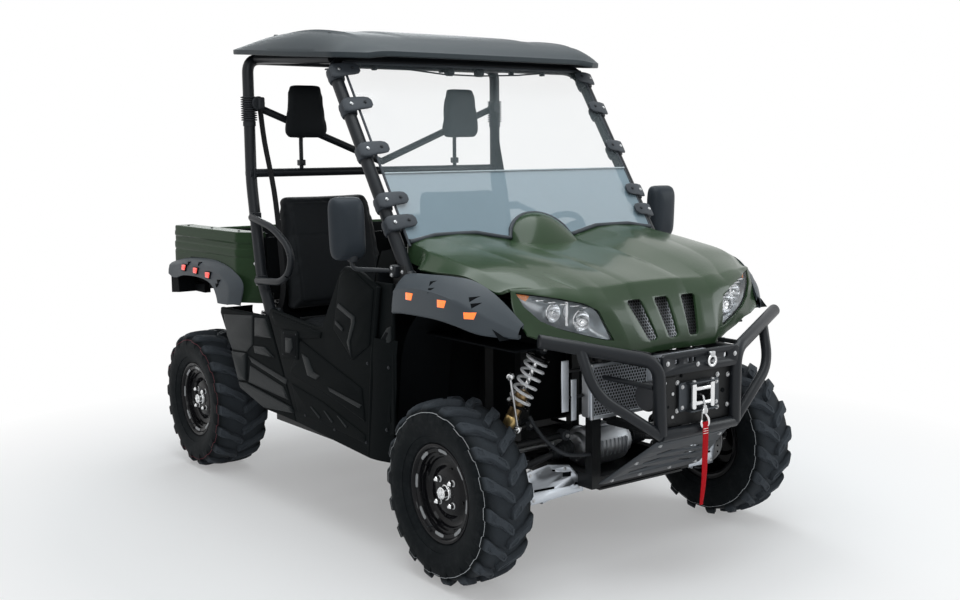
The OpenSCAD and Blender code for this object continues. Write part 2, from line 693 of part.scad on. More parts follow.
tyre(-rear_track_x, rear_axle_y, rear_tyre_w);  // rear_right_tyre
rim(-rear_track_x, rear_axle_y, rear_tyre_w, -1);  // rear_right_rim
tyre(rear_track_x, rear_axle_y, rear_tyre_w);  // rear_left_tyre
rim(rear_track_x, rear_axle_y, rear_tyre_w, 1);  // rear_left_rim
cargo_bed();
bed_hinge();
bed_panels();
bed_flares();
tail_lights();
tailgate();
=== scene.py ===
import math
import bpy
import bmesh
from mathutils import Matrix, Vector


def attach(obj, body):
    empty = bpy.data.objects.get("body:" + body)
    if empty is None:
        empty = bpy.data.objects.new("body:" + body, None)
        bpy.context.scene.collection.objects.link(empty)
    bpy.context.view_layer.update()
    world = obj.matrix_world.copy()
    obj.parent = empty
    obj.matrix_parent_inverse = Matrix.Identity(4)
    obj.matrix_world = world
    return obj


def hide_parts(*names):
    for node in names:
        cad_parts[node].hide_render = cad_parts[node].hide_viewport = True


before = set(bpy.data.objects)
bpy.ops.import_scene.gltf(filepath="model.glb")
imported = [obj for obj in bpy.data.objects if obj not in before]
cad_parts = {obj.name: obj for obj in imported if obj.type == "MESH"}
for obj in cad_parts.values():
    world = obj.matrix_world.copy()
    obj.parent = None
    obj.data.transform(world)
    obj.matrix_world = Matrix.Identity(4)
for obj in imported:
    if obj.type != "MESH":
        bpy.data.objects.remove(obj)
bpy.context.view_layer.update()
print("frame loaded:", len(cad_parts), "nodes")

datum = {"y": -0.034, "axle": 0.3175, "frontAxle": -0.850, "rearAxle": 1.130}  # as in the part's source, in metres


class Sock:  # one output socket, so that shader maths reads as an expression
    def __init__(self, mat, out):
        self.mat, self.out = mat, out

    def _math(self, op, a, b=None, clamp=False):
        n = self.mat.tree.nodes.new("ShaderNodeMath")
        n.operation, n.use_clamp = op, clamp
        for i, v in enumerate((a, b)):
            if isinstance(v, Sock):
                self.mat.tree.links.new(v.out, n.inputs[i])
            elif v is not None:
                n.inputs[i].default_value = v
        return Sock(self.mat, n.outputs[0])

    def __add__(self, o): return self._math("ADD", self, o)
    def __radd__(self, o): return self._math("ADD", o, self)
    def __sub__(self, o): return self._math("SUBTRACT", self, o)
    def __rsub__(self, o): return self._math("SUBTRACT", o, self)
    def __mul__(self, o): return self._math("MULTIPLY", self, o)
    def __rmul__(self, o): return self._math("MULTIPLY", o, self)
    def __truediv__(self, o): return self._math("DIVIDE", self, o)
    def __rtruediv__(self, o): return self._math("DIVIDE", o, self)
    def __pow__(self, o): return self._math("POWER", self, o)
    def __gt__(self, o): return self._math("GREATER_THAN", self, o)
    def __lt__(self, o): return self._math("LESS_THAN", self, o)
    def most(self, o): return self._math("MAXIMUM", self, o)
    def size(self): return self._math("ABSOLUTE", self)
    def clamp(self): return self._math("ADD", self, 0.0, clamp=True)
    def wave(self, period): return self._math("PINGPONG", self, period)
    def rest(self, period): return self._math("MODULO", self, period)


class Finish:  # a material being built
    def __init__(self, name, **constants):
        self.made = bpy.data.materials.new(name)
        self.made.use_nodes = True
        self.tree = self.made.node_tree
        self.shader = next(n for n in self.tree.nodes if n.type == "BSDF_PRINCIPLED")
        for key, value in constants.items():
            self.shader.inputs[key.replace("_", " ")].default_value = value

    def node(self, kind, settings=None, out=0, **inputs):  # settings first, then values or links by socket name
        n = self.tree.nodes.new("ShaderNode" + kind)
        for key, value in (settings or {}).items():
            setattr(n, key, value)
        for key, value in inputs.items():
            name = key.replace("_", " ")
            sock = n.inputs[int(name[1:])] if name[0] == "i" and name[1:].isdigit() else n.inputs[name]
            if isinstance(value, Sock): self.tree.links.new(value.out, sock)
            else: sock.default_value = value
        return Sock(self, n.outputs[out])

    def place(self):  # the piece's own coordinates
        if not hasattr(self, "coords"):
            self.coords = self.node("TexCoord", out=3)
        return self.coords

    def axes(self):
        n = self.tree.nodes.new("ShaderNodeSeparateXYZ")
        self.tree.links.new(self.place().out, n.inputs[0])
        return [Sock(self, o) for o in n.outputs]

    def noise(self, scale, detail=3, rough=0.5, vector=None):
        return self.node("TexNoise", Vector=vector or self.place(), Scale=scale, Detail=detail, Roughness=rough)

    def mix(self, a, b, amount):
        n = self.tree.nodes.new("ShaderNodeMix")
        n.data_type = "RGBA"
        for sock, value in ((n.inputs[0], amount), (n.inputs[6], a), (n.inputs[7], b)):
            if isinstance(value, Sock): self.tree.links.new(value.out, sock)
            else: sock.default_value = (*value, 1) if isinstance(value, tuple) and len(value) == 3 else value
        return Sock(self, n.outputs[2])

    def feed(self, **inputs):
        for key, value in inputs.items():
            self.tree.links.new(value.out, self.shader.inputs[key.replace("_", " ")])
        return self

    def bump(self, height, strength=0.3, depth=0.001):
        n = self.tree.nodes.new("ShaderNodeBump")
        n.inputs["Strength"].default_value, n.inputs["Distance"].default_value = strength, depth
        self.tree.links.new(height.out, n.inputs["Height"])
        self.tree.links.new(n.outputs[0], self.shader.inputs["Normal"])
        return self


finishes = {}


def glossGreen(name, shine, coat):
    m = Finish(name, Specular_IOR_Level=shine, Coat_Weight=coat, Coat_Roughness=0.05)
    broad, fine = m.noise(3.0, 4), m.noise(900, 2)
    base = m.mix((0.0215, 0.0460, 0.0200), (0.0285, 0.0570, 0.0265), broad)
    m.feed(Base_Color=m.mix(base, (0.036, 0.066, 0.034), fine * 0.25), Roughness=0.20 + 0.10 * broad)
    return m.bump(fine * 0.35 + m.noise(14, 2) * 0.9, 0.08, 0.0006)


def mouldedPlastic(name, dark, light, rough, grain=520, depth=0.25, shine=0.02):
    m = Finish(name, Specular_IOR_Level=shine)
    broad, fine = m.noise(5, 4), m.noise(grain, 3, 0.6)
    cells = m.node("TexVoronoi", {"feature": "DISTANCE_TO_EDGE"}, Vector=m.place(), Scale=grain * 0.7)
    m.feed(Base_Color=m.mix(m.mix(dark, light, broad), tuple(c * 1.3 for c in light), fine * 0.25),
        Roughness=rough - 0.06 + 0.14 * fine + 0.05 * broad)
    return m.bump(cells * 2.2 + fine * 0.6, depth, 0.0007)


def powderCoat(name, colour, rough=0.33):
    m = Finish(name, Coat_Weight=0.03, Coat_Roughness=0.3, Specular_IOR_Level=0.22)
    peel, broad = m.noise(420, 2), m.noise(6, 4)
    m.feed(Base_Color=m.mix(colour, tuple(c * 1.6 + 0.004 for c in colour), broad * 0.7), Roughness=rough + 0.12 * broad)
    return m.bump(peel, 0.14, 0.0006)


def treadRubber(name, axleY, line):  # with a thin coloured ring moulded near the shoulder
    m = Finish(name, Specular_IOR_Level=0.05)
    broad, fine, dust = m.noise(7, 4), m.noise(260, 4, 0.65), m.noise(28, 5, 0.7)
    x, y, z = m.axes()
    dy, dz = y - (axleY + datum["y"]), z - datum["axle"]
    radius = (dy * dy + dz * dz) ** 0.5
    ring = (radius - 0.279).size() < 0.0009
    # lug tops lighter and bluer: partly wear, partly a painted highlight of the light from above and in front
    topsWornAndLit = ((radius - 0.287) * 70.0).clamp()
    bare = m.mix(m.mix((0.0058, 0.0075, 0.0086), (0.0105, 0.0130, 0.0148), broad), (0.075, 0.086, 0.100), topsWornAndLit * (0.45 + 0.55 * fine))
    dusty = m.mix(bare, (0.036, 0.038, 0.041), (dust * 2.4 - 1.15).clamp() * 0.55)
    m.feed(Base_Color=m.mix(dusty, line, ring), Roughness=0.47 + 0.22 * fine)
    return m.bump(fine * 0.8 + dust * 0.6, 0.22, 0.001)


def softRubber(name, colour, rough=0.55):
    m = Finish(name, Specular_IOR_Level=0.28)
    broad, fine = m.noise(9, 3), m.noise(330, 3)
    m.feed(Base_Color=m.mix(colour, tuple(c * 1.9 for c in colour), broad), Roughness=rough + 0.15 * fine)
    return m.bump(fine, 0.18, 0.0006)


def glossBlack():
    m = Finish("glossBlack", Specular_IOR_Level=0.08, Coat_Weight=0.12, Coat_Roughness=0.06)
    broad, dust = m.noise(8, 3), m.noise(60, 4, 0.7)
    m.feed(Base_Color=m.mix((0.004, 0.004, 0.005), (0.012, 0.012, 0.014), broad), Roughness=0.12 + (dust * 2 - 1).clamp() * 0.25)
    return m.bump(m.noise(500, 2), 0.05, 0.0004)


def metal(name, colour, rough, brushed=0.0, cast=0.0, metallic=1.0):
    m = Finish(name)
    broad = m.noise(12, 4)
    if brushed:
        x, y, z = m.axes()
        along = m.node("CombineXYZ", X=x * 18.0, Y=y * 900.0, Z=z * 900.0)
        grain = m.noise(1.0, 2, vector=along)
    else:
        grain = m.noise(420 if cast else 180, 4, 0.65)
    m.feed(Base_Color=m.mix(tuple(c * 0.78 for c in colour), colour, grain), Roughness=rough + 0.16 * grain * (brushed + cast + 0.4) + 0.06 * broad,
           Metallic=metallic - 0.06 * broad)
    return m.bump(grain, 0.1 + 0.35 * cast, 0.0006 + 0.0012 * cast)


def clearSheet(name, tint, alpha, rough=0.03):
    m = Finish(name, IOR=1.49, Specular_IOR_Level=0.6)
    wipe, streak = m.noise(3.5, 5, 0.6), m.noise(60, 4)
    m.feed(Base_Color=m.mix(tint, tuple(min(1.0, c * 1.15) for c in tint), wipe), Alpha=alpha + 0.05 * wipe, Roughness=rough + 0.04 * streak)
    return m.bump(m.noise(5, 2), 0.05, 0.002)


def lensPlastic(name, colour, glow=0.0):
    # glow is a painted glow: the lens shines by itself like a lit lamp
    m = Finish(name, Coat_Weight=0.7, Coat_Roughness=0.05, Emission_Strength=glow)
    x, y, z = m.axes()
    ribs = (x + z).wave(0.0022) * 400.0
    m.feed(Base_Color=m.mix(colour, tuple(min(1.0, c * 1.5 + 0.02) for c in colour), ribs), Roughness=0.16 + 0.14 * ribs,
           Emission_Color=m.mix(colour, tuple(min(1.0, c * 1.3 + 0.01) for c in colour), ribs))
    return m.bump(ribs, 0.3, 0.0006)


def wovenWeb(name, colour):
    m = Finish(name, Specular_IOR_Level=0.1)
    x, y, z = m.axes()
    warp, weft = (x + y * 0.7).wave(0.0009) * 1100.0, z.wave(0.0012) * 830.0
    weave = (warp * weft).clamp()
    m.feed(Base_Color=m.mix(tuple(c * 0.45 for c in colour), colour, weave * 0.8 + 0.2 * m.noise(40, 3)), Roughness=0.72 + 0.15 * weave)
    return m.bump(weave, 0.5, 0.0009)


def grainedVinyl():
    m = Finish("grainedVinyl", Specular_IOR_Level=0.07)
    pores = m.node("TexVoronoi", {"feature": "SMOOTH_F1"}, Vector=m.place(), Scale=360.0, Smoothness=0.4)
    broad, fine = m.noise(5, 4), m.noise(240, 3)
    m.feed(Base_Color=m.mix((0.0105, 0.0118, 0.0132), (0.0215, 0.0240, 0.0270), broad * 0.7 + pores * 0.3),
        Roughness=0.40 + 0.2 * fine + 0.06 * broad)
    return m.bump(pores * 1.6 + fine * 0.4, 0.3, 0.0009)


def netMetal(name, colour, pitch, hole):  # round holes on a staggered grid, seen in x and z; painted near black as the shade seen through them, not cut
    m = Finish(name, Metallic=0.9)
    x, y, z = m.axes()
    def holes(ox, oz):
        dx = (x + ox).rest(pitch) - pitch * 0.5
        dz = (z + oz).rest(pitch * 1.732) - pitch * 0.866
        return m.node("Math", {"operation": "SQRT"}, i0=dx * dx + dz * dz) < hole
    holeShade = holes(60 * pitch, 10 * pitch * 1.732).most(holes(60.5 * pitch, 10.5 * pitch * 1.732))
    broad = m.noise(30, 3)
    # the holes are painted shade: near black and not metallic
    m.feed(Base_Color=m.mix(m.mix(colour, tuple(c * 0.75 for c in colour), broad), (0.004, 0.004, 0.005), holeShade),
           Roughness=0.34 + 0.2 * broad + 0.3 * holeShade, Metallic=0.9 - 0.9 * holeShade)
    return m.bump(1.0 - holeShade, 0.6, 0.001)


def makeFinishes():
    f = finishes
    f["green"] = glossGreen("glossGreen", 0.2, 0.16)
    f["bedGreen"] = glossGreen("bedGreen", 0.05, 0.03)
    f["panel"] = mouldedPlastic("panelPlastic", (0.0046, 0.0058, 0.0063), (0.0078, 0.0096, 0.0102), 0.5)
    # lighter copy of the panel plastic for facets and raised patches: a painted highlight where they face the light,
    # with some real extra shine
    f["panelPaintedHighlight"] = mouldedPlastic("panelFacets", (0.0100, 0.0122, 0.0134), (0.0155, 0.0188, 0.0200), 0.4, shine=0.12)
    f["mirrorShell"] = mouldedPlastic("mirrorShell", (0.023, 0.029, 0.036), (0.034, 0.041, 0.050), 0.38, 420, 0.2, 0.12)
    f["mirrorGlass"] = metal("mirrorGlass", (0.78, 0.80, 0.82), 0.03)
    f["clearEdge"] = softRubber("screenEdge", (0.30, 0.34, 0.36), 0.2)
    f["flare"] = mouldedPlastic("flarePlastic", (0.036, 0.046, 0.056), (0.050, 0.062, 0.073), 0.42, 430, 0.3, 0.34)
    f["roof"] = mouldedPlastic("roofPlastic", (0.022, 0.030, 0.035), (0.032, 0.042, 0.049), 0.42, 430, 0.3, 0.2)
    f["bedLiner"] = mouldedPlastic("bedLiner", (0.0060, 0.0068, 0.0074), (0.0105, 0.0116, 0.0126), 0.55, 300, 0.45)
    f["liner"] = mouldedPlastic("linerPlastic", (0.0044, 0.0052, 0.0062), (0.0074, 0.0086, 0.0098), 0.52)
    f["tube"] = powderCoat("tubePaint", (0.0105, 0.0125, 0.0155))
    f["framePaint"] = powderCoat("framePaint", (0.0052, 0.006, 0.0068), 0.42)
    f["frontTyre"] = treadRubber("frontTread", datum["frontAxle"], (0.50, 0.52, 0.54))
    f["rearTyre"] = treadRubber("rearTread", datum["rearAxle"], (0.20, 0.055, 0.07))
    f["rubber"] = softRubber("darkRubber", (0.015, 0.017, 0.020))
    f["clamp"] = softRubber("clampRubber", (0.030, 0.035, 0.042), 0.46)
    f["rimBlack"] = glossBlack()
    f["machined"] = metal("machinedPatch", (0.30, 0.31, 0.32), 0.36, cast=0.3, metallic=0.75)
    f["chrome"] = metal("brightChrome", (0.86, 0.87, 0.88), 0.07)
    f["steel"] = metal("brushedSteel", (0.56, 0.57, 0.58), 0.26, brushed=0.6)
    f["alloy"] = metal("castAlloy", (0.55, 0.57, 0.60), 0.38, cast=0.6)
    f["plate"] = metal("silverPlate", (0.60, 0.64, 0.69), 0.3, brushed=0.5)
    f["darkPlate"] = metal("darkPlate", (0.060, 0.068, 0.078), 0.36, brushed=0.4, metallic=0.7)
    f["redButton"] = softRubber("redButton", (0.35, 0.02, 0.025), 0.35)
    f["stitch"] = softRubber("strapStitch", (0.75, 0.72, 0.70), 0.6)
    f["iron"] = metal("castIron", (0.085, 0.088, 0.095), 0.48, cast=0.8, metallic=0.7)
    f["bronze"] = metal("bronzeBody", (0.36, 0.25, 0.13), 0.24, brushed=0.5)
    f["spring"] = powderCoat("springWhite", (0.86, 0.87, 0.89), 0.25)
    f["clear"] = clearSheet("clearScreen", (0.36, 0.44, 0.47), 0.06)
    f["tinted"] = clearSheet("tintedScreen", (0.26, 0.355, 0.415), 0.62)
    f["lens"] = clearSheet("clearLens", (0.50, 0.54, 0.56), 0.06, 0.02)
    f["lampBody"] = metal("lampBody", (0.52, 0.55, 0.58), 0.24, metallic=0.85)
    f["reflector"] = metal("lampReflector", (0.80, 0.81, 0.83), 0.10)
    # the glow on these lenses is painted glow, on the flare reflectors and on the lamp lenses
    f["amber"] = lensPlastic("amberLens", (0.95, 0.15, 0.012), 0.9)
    f["amberClear"] = lensPlastic("cornerAmber", (0.72, 0.20, 0.03), 0.15)
    f["red"] = lensPlastic("redLens", (0.80, 0.030, 0.012), 0.7)
    f["redWeb"] = wovenWeb("redWeb", (0.80, 0.014, 0.024))
    f["belt"] = wovenWeb("beltWeb", (0.022, 0.023, 0.025))
    f["vinyl"] = grainedVinyl()
    f["radiatorNet"] = netMetal("radiatorNet", (0.52, 0.55, 0.60), 0.0125, 0.0046)
    f["grilleNet"] = netMetal("grilleNet", (0.34, 0.355, 0.38), 0.0115, 0.0044)
    f["copper"] = metal("wornBrass", (0.62, 0.45, 0.2), 0.3)


makeFinishes()
print("finishes made:", len(finishes))
# Shapes are written in millimetres from the datum, as in the part's source, and become metres in make().

def rounded(path, cut=50, steps=5):  # corners of a path turned into arcs
    path = [Vector(p) for p in path]
    out = [path[0]]
    for i in range(1, len(path) - 1):
        a = path[i] + (path[i - 1] - path[i]).normalized() * cut
        b = path[i] + (path[i + 1] - path[i]).normalized() * cut
        for k in range(steps + 1):
            t = k / steps
            out.append(a * (1 - t) ** 2 + path[i] * 2 * t * (1 - t) + b * t * t)
    out.append(path[-1])
    return out


class Form:  # collects faces of several finishes, then becomes one piece
    def __init__(self):
        self.verts, self.faces, self.marks, self.names = [], [], [], []

    def add(self, verts, faces, finish):
        if finish not in self.names: self.names.append(finish)
        n, mark = len(self.verts), self.names.index(finish)
        self.verts += [tuple(v) for v in verts]
        self.faces += [tuple(n + i for i in f) for f in faces]
        self.marks += [mark] * len(faces)
        return self

    def grid(self, rows, finish, closed=False, flip=False):  # rows of points, joined into quads
        c = len(rows[0])
        faces = []
        for i in range(len(rows) - 1):
            for j in range(c if closed else c - 1):
                a, b = i * c + j, i * c + (j + 1) % c
                q = (a, b, b + c, a + c)
                faces.append(q[::-1] if flip else q)
        return self.add([p for r in rows for p in r], faces, finish)

    def loft(self, rings, finish, caps=True):  # closed rings, joined, with ends
        c = len(rings[0])
        self.grid(rings, finish, closed=True)
        if caps:
            self.add(rings[0], [tuple(range(c))[::-1]], finish)
            self.add(rings[-1], [tuple(range(c))], finish)
        return self

    def box(self, lo, hi, finish, cut=0.0):  # cut takes the long edges off
        (x0, y0, z0), (x1, y1, z1) = lo, hi
        c = min(cut, (x1 - x0) / 2.01, (y1 - y0) / 2.01, (z1 - z0) / 2.01)
        if c <= 0:
            v = [(x, y, z) for z in (z0, z1) for x, y in ((x0, y0), (x1, y0), (x1, y1), (x0, y1))]
            return self.add(v, [(3, 2, 1, 0), (4, 5, 6, 7), (0, 1, 5, 4), (1, 2, 6, 5), (2, 3, 7, 6), (3, 0, 4, 7)], finish)
        def ring(z, d):
            return [(x0 + c, y0 + d, z), (x1 - c, y0 + d, z), (x1 - d, y0 + c, z), (x1 - d, y1 - c, z),
                    (x1 - c, y1 - d, z), (x0 + c, y1 - d, z), (x0 + d, y1 - c, z), (x0 + d, y0 + c, z)]
        return self.loft([ring(z0, c), ring(z0 + c, 0), ring(z1 - c, 0), ring(z1, c)], finish)

    def tube(self, path, r, finish, sides=16, caps=True, flat=None):  # r may change along the path
        path = [Vector(p) for p in path]
        n = len(path)
        ref = None
        rings = []
        for i, p in enumerate(path):
            d = ((path[i + 1] - p).normalized() if i < n - 1 else Vector()) + ((p - path[i - 1]).normalized() if i else Vector())
            d.normalize()
            if ref is None:
                ref = Vector((0, 0, 1)) if abs(d.z) < 0.9 else Vector((0, 1, 0))
            u = (ref - d * ref.dot(d)).normalized()
            ref, v = u, d.cross(u)
            rr = r[i] if isinstance(r, (list, tuple)) else r
            fu = flat or 1.0
            rings.append([p + rr * (math.cos(t) * u * fu + math.sin(t) * v) for t in (2 * math.pi * k / sides for k in range(sides))])
        return self.loft(rings, finish, caps)

    def rod(self, a, b, r, finish, sides=20):
        return self.tube([a, b], r, finish, sides)

    def turned(self, profile, at, axis, finish, sides=48, caps=False):  # profile of (along, radius) round an axis
        a = Vector(axis).normalized()
        u = a.orthogonal().normalized()
        if abs(a.x) > 0.9: u = Vector((0, 0, 1))
        v = a.cross(u)
        rings = [[Vector(at) + a * s + r * (math.cos(t) * u + math.sin(t) * v) for t in (2 * math.pi * k / sides for k in range(sides))]
                 for s, r in profile]
        return self.loft(rings, finish, caps)

    def prism(self, outline, axis, lo, hi, finish, cut=0.0):  # outline in the other two axes; cut bevels the hi end
        def at(p, h): return {"x": (h, p[0], p[1]), "y": (p[0], h, p[1]), "z": (p[0], p[1], h)}[axis]
        rings = [[at(p, lo) for p in outline]]
        if cut:
            rings += [[at(p, hi - math.copysign(abs(cut), hi - lo)) for p in outline], [at(p, hi) for p in inset(outline, abs(cut))]]
        else:
            rings += [[at(p, hi) for p in outline]]
        return self.loft(rings, finish)

    def bolt(self, at, out, r, finish="steel", head=0.6):  # hexagon head with its washer
        a = Vector(out).normalized()
        u = a.orthogonal().normalized(); v = a.cross(u)
        def ring(s, rad, n): return [Vector(at) + a * s + rad * (math.cos(t) * u + math.sin(t) * v) for t in (2 * math.pi * k / n for k in range(n))]
        self.loft([ring(0, r * 1.35, 18), ring(r * 0.18, r * 1.35, 18)], finish)
        return self.loft([ring(r * 0.18, r, 6), ring(r * (head + 0.05), r, 6), ring(r * (head + 0.18), r * 0.82, 6)], finish)

    def coil(self, a, b, radius, wire, turns, finish, per=22):
        a, b = Vector(a), Vector(b)
        d = (b - a).normalized(); u = d.orthogonal().normalized(); v = d.cross(u)
        n = int(turns * per)
        path = []
        for i in range(n + 1):
            t = i / n
            s = t * t * (3 - 2 * t) * 0.25 + t * 0.75
            w = 2 * math.pi * turns * t
            path.append(a + (b - a) * s + radius * (math.cos(w) * u + math.sin(w) * v))
        return self.tube(path, wire, finish, 10)

    def both(self, build):  # builds on the left, then mirrored on the right
        part = Form()
        build(part)
        return self.mirrored(part)

    def mirrored(self, part):  # a built half on its own side and on the other
        for sign in (1, -1):
            for i, name in enumerate(part.names):
                faces = [f if sign > 0 else f[::-1] for f, m in zip(part.faces, part.marks) if m == i]
                used = sorted({v for f in faces for v in f})
                index = {v: k for k, v in enumerate(used)}
                self.add([(sign * part.verts[v][0], part.verts[v][1], part.verts[v][2]) for v in used],
                         [tuple(index[v] for v in f) for f in faces], name)
        return self

    def make(self, name, body, replaces=(), slot=None, bevel=0.0, smooth=35, thick=0.0):
        mesh = bpy.data.meshes.new(name)
        mesh.from_pydata([(v[0] * 0.001, v[1] * 0.001 + datum["y"], v[2] * 0.001) for v in self.verts], [], self.faces)
        for f in self.names: mesh.materials.append(finishes[f].made)
        mesh.polygons.foreach_set("material_index", self.marks)
        bm = bmesh.new(); bm.from_mesh(mesh)
        bmesh.ops.remove_doubles(bm, verts=bm.verts, dist=0.00002)
        if not thick: bmesh.ops.recalc_face_normals(bm, faces=bm.faces)
        bm.to_mesh(mesh); bm.free()
        o = bpy.data.objects.new(name, mesh)
        bpy.context.scene.collection.objects.link(o)
        if thick:
            mod = o.modifiers.new("wall", "SOLIDIFY"); mod.thickness, mod.offset = thick * 0.001, -1
        if bevel:
            mod = o.modifiers.new("edges",
                "BEVEL"); mod.width, mod.segments, mod.limit_method, mod.angle_limit = bevel * 0.001, 2, "ANGLE", math.radians(32)
        applyModifiers(o)
        o.data.shade_smooth()
        o.data.set_sharp_from_angle(angle=math.radians(smooth))
        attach(o, body)
        if replaces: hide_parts(*([replaces] if isinstance(replaces, str) else replaces))
        return o


def inset(outline, d):  # outline moved inwards by d
    n = len(outline)
    area = sum(outline[i][0] * outline[(i + 1) % n][1] - outline[(i + 1) % n][0] * outline[i][1] for i in range(n))
    s = 1 if area > 0 else -1
    out = []
    for i in range(n):
        p, a, b = Vector(outline[i]), Vector(outline[i - 1]), Vector(outline[(i + 1) % n])
        u, v = (p - a).normalized(), (b - p).normalized()
        nu, nv = Vector((-u.y, u.x)) * s, Vector((-v.y, v.x)) * s
        k = nu + nv
        out.append(tuple(p + k * (d / max(0.35, k.dot(nu)))))
    return out


def applyModifiers(o):
    if not o.modifiers: return
    deps = bpy.context.evaluated_depsgraph_get()
    made = bpy.data.meshes.new_from_object(o.evaluated_get(deps))
    o.modifiers.clear()
    old = o.data
    o.data = made
    bpy.data.meshes.remove(old)


def cutBy(o, cutter):  # takes cutter's shape out of o
    mod = o.modifiers.new("cut", "BOOLEAN"); mod.operation, mod.solver, mod.object = "DIFFERENCE", "EXACT", cutter
    bpy.context.view_layer.update()
    applyModifiers(o)
    bpy.data.objects.remove(cutter)


wheel = {"lugs": 18, "lugHeight": 19, "tyreR": 317.4, "patches": 8, "nuts": 4, "studR": 55, "sides": 96}


def lugStations(hw):  # x, base radius, top radius, turn in degrees, half width in mm, groove depth
    r = wheel["tyreR"]
    return [(hw - 1.5, 236, 238, -1.5, 9, 0), (hw - 0.3, 250, 256, -1.0, 15, 0), (hw - 0.6, 262, 275, -0.5, 18, 0),
            (hw - 7, 272, 296, 0, 20, 0), (hw - 15, 280, 306, 0.6, 20.5, 0), (hw - 18, 281, 307.4, 0.8, 20.5, 3),
            (hw * 0.72, 286, r - 4.5, 2.4, 18, 3), (hw * 0.70, 286, r - 4.3, 2.5, 18, 0), (hw * 0.54, 290, r - 1.6, 4.4, 13, 0),
            (hw * 0.40, 292, r - 0.6, 6.4, 13, 0), (hw * 0.27, 292, r, 8.4, 16, 0), (hw * 0.25, 292, r, 8.7, 16.5, 3),
            (hw * 0.06, 292, r, 11.6, 16, 3), (hw * 0.04, 292, r, 11.9, 16, 0), (hw * -0.04, 292, r - 1, 13.0, 11, 0)]


def addLug(f, x0, y0, side, hw, turn, finish):
    rings = []
    for x, base, top, deg, half, groove in lugStations(hw):
        ring = []
        for across, r in ((-1.28, base - 6), (-1, top - 1.6), (-0.9, top), (-0.55, top), (-0.45, top - groove),
                          (0.45, top - groove), (0.55, top), (0.9, top), (1, top - 1.6), (1.28, base - 6)):
            a = math.radians(turn + deg) + across * half / r
            ring.append((x0 + side * x, y0 - r * math.sin(a), 317.5 + r * math.cos(a)))
        rings.append(ring)
    f.loft(rings, finish)


def addRib(f, x0, y0, side, hw, turn, finish):  # low curved rib in the valley between two lugs
    rings = []
    for t in range(9):
        x, deg = hw * (0.86 - 0.62 * t / 8), 5.2 + 5.8 * (t / 8) ** 1.3
        base, top = 288 + 6 * min(1, t / 3), 294 + 7.5 * min(1, t / 3)
        half = 2 + 3.2 * math.sin(math.pi * t / 8)
        rings.append([(x0 + side * x, y0 - r * math.sin(a), 317.5 + r * math.cos(a))
                      for k, r in ((-1.8, base - 4), (-1, top), (1, top), (1.8, base - 4))
                      for a in [math.radians(turn + deg) + k * half / r]])
    f.loft(rings, finish)


def addTyre(name, body, node, x0, y0, w, finish):
    hw = w / 2 - 0.2
    f = Form()
    outer = [(hw - 33, 152.5), (hw - 33, 160), (hw - 31, 170), (hw - 27, 174), (hw - 22, 176), (hw - 19, 182), (hw - 12, 196),
             (hw - 11, 200), (hw - 8, 201), (hw - 5, 212), (hw - 2, 224), (hw - 0.5, 236), (hw - 0.4, 250), (hw - 2, 262),
             (hw - 5.5, 272), (hw - 8, 276), (hw - 9, 281), (hw - 15, 287), (hw - 30, 292), (hw * 0.5, 296), (0, 298)]
    profile = outer + [(-s, r) for s, r in outer[-2::-1]]
    inner = [(-(hw - 46), 158), (-(hw - 22), 215), (-(hw - 20), 255), (-(hw - 50), 280), (hw - 50, 280), (hw - 20, 255), (hw - 22, 215),
        (hw - 46, 158)]
    f.turned(profile + inner + [profile[0]], (x0, y0, 317.5), (1, 0, 0), finish, wheel["sides"])
    step = 360 / wheel["lugs"]
    for k in range(wheel["lugs"]):
        for side, turn in ((1, k * step), (-1, (k + 0.5) * step)):
            addLug(f, x0, y0, side, hw, turn, finish)
            addRib(f, x0, y0, side, hw, turn, finish)
    return f.make(name, body, node, "tyre_rubber", smooth=40)


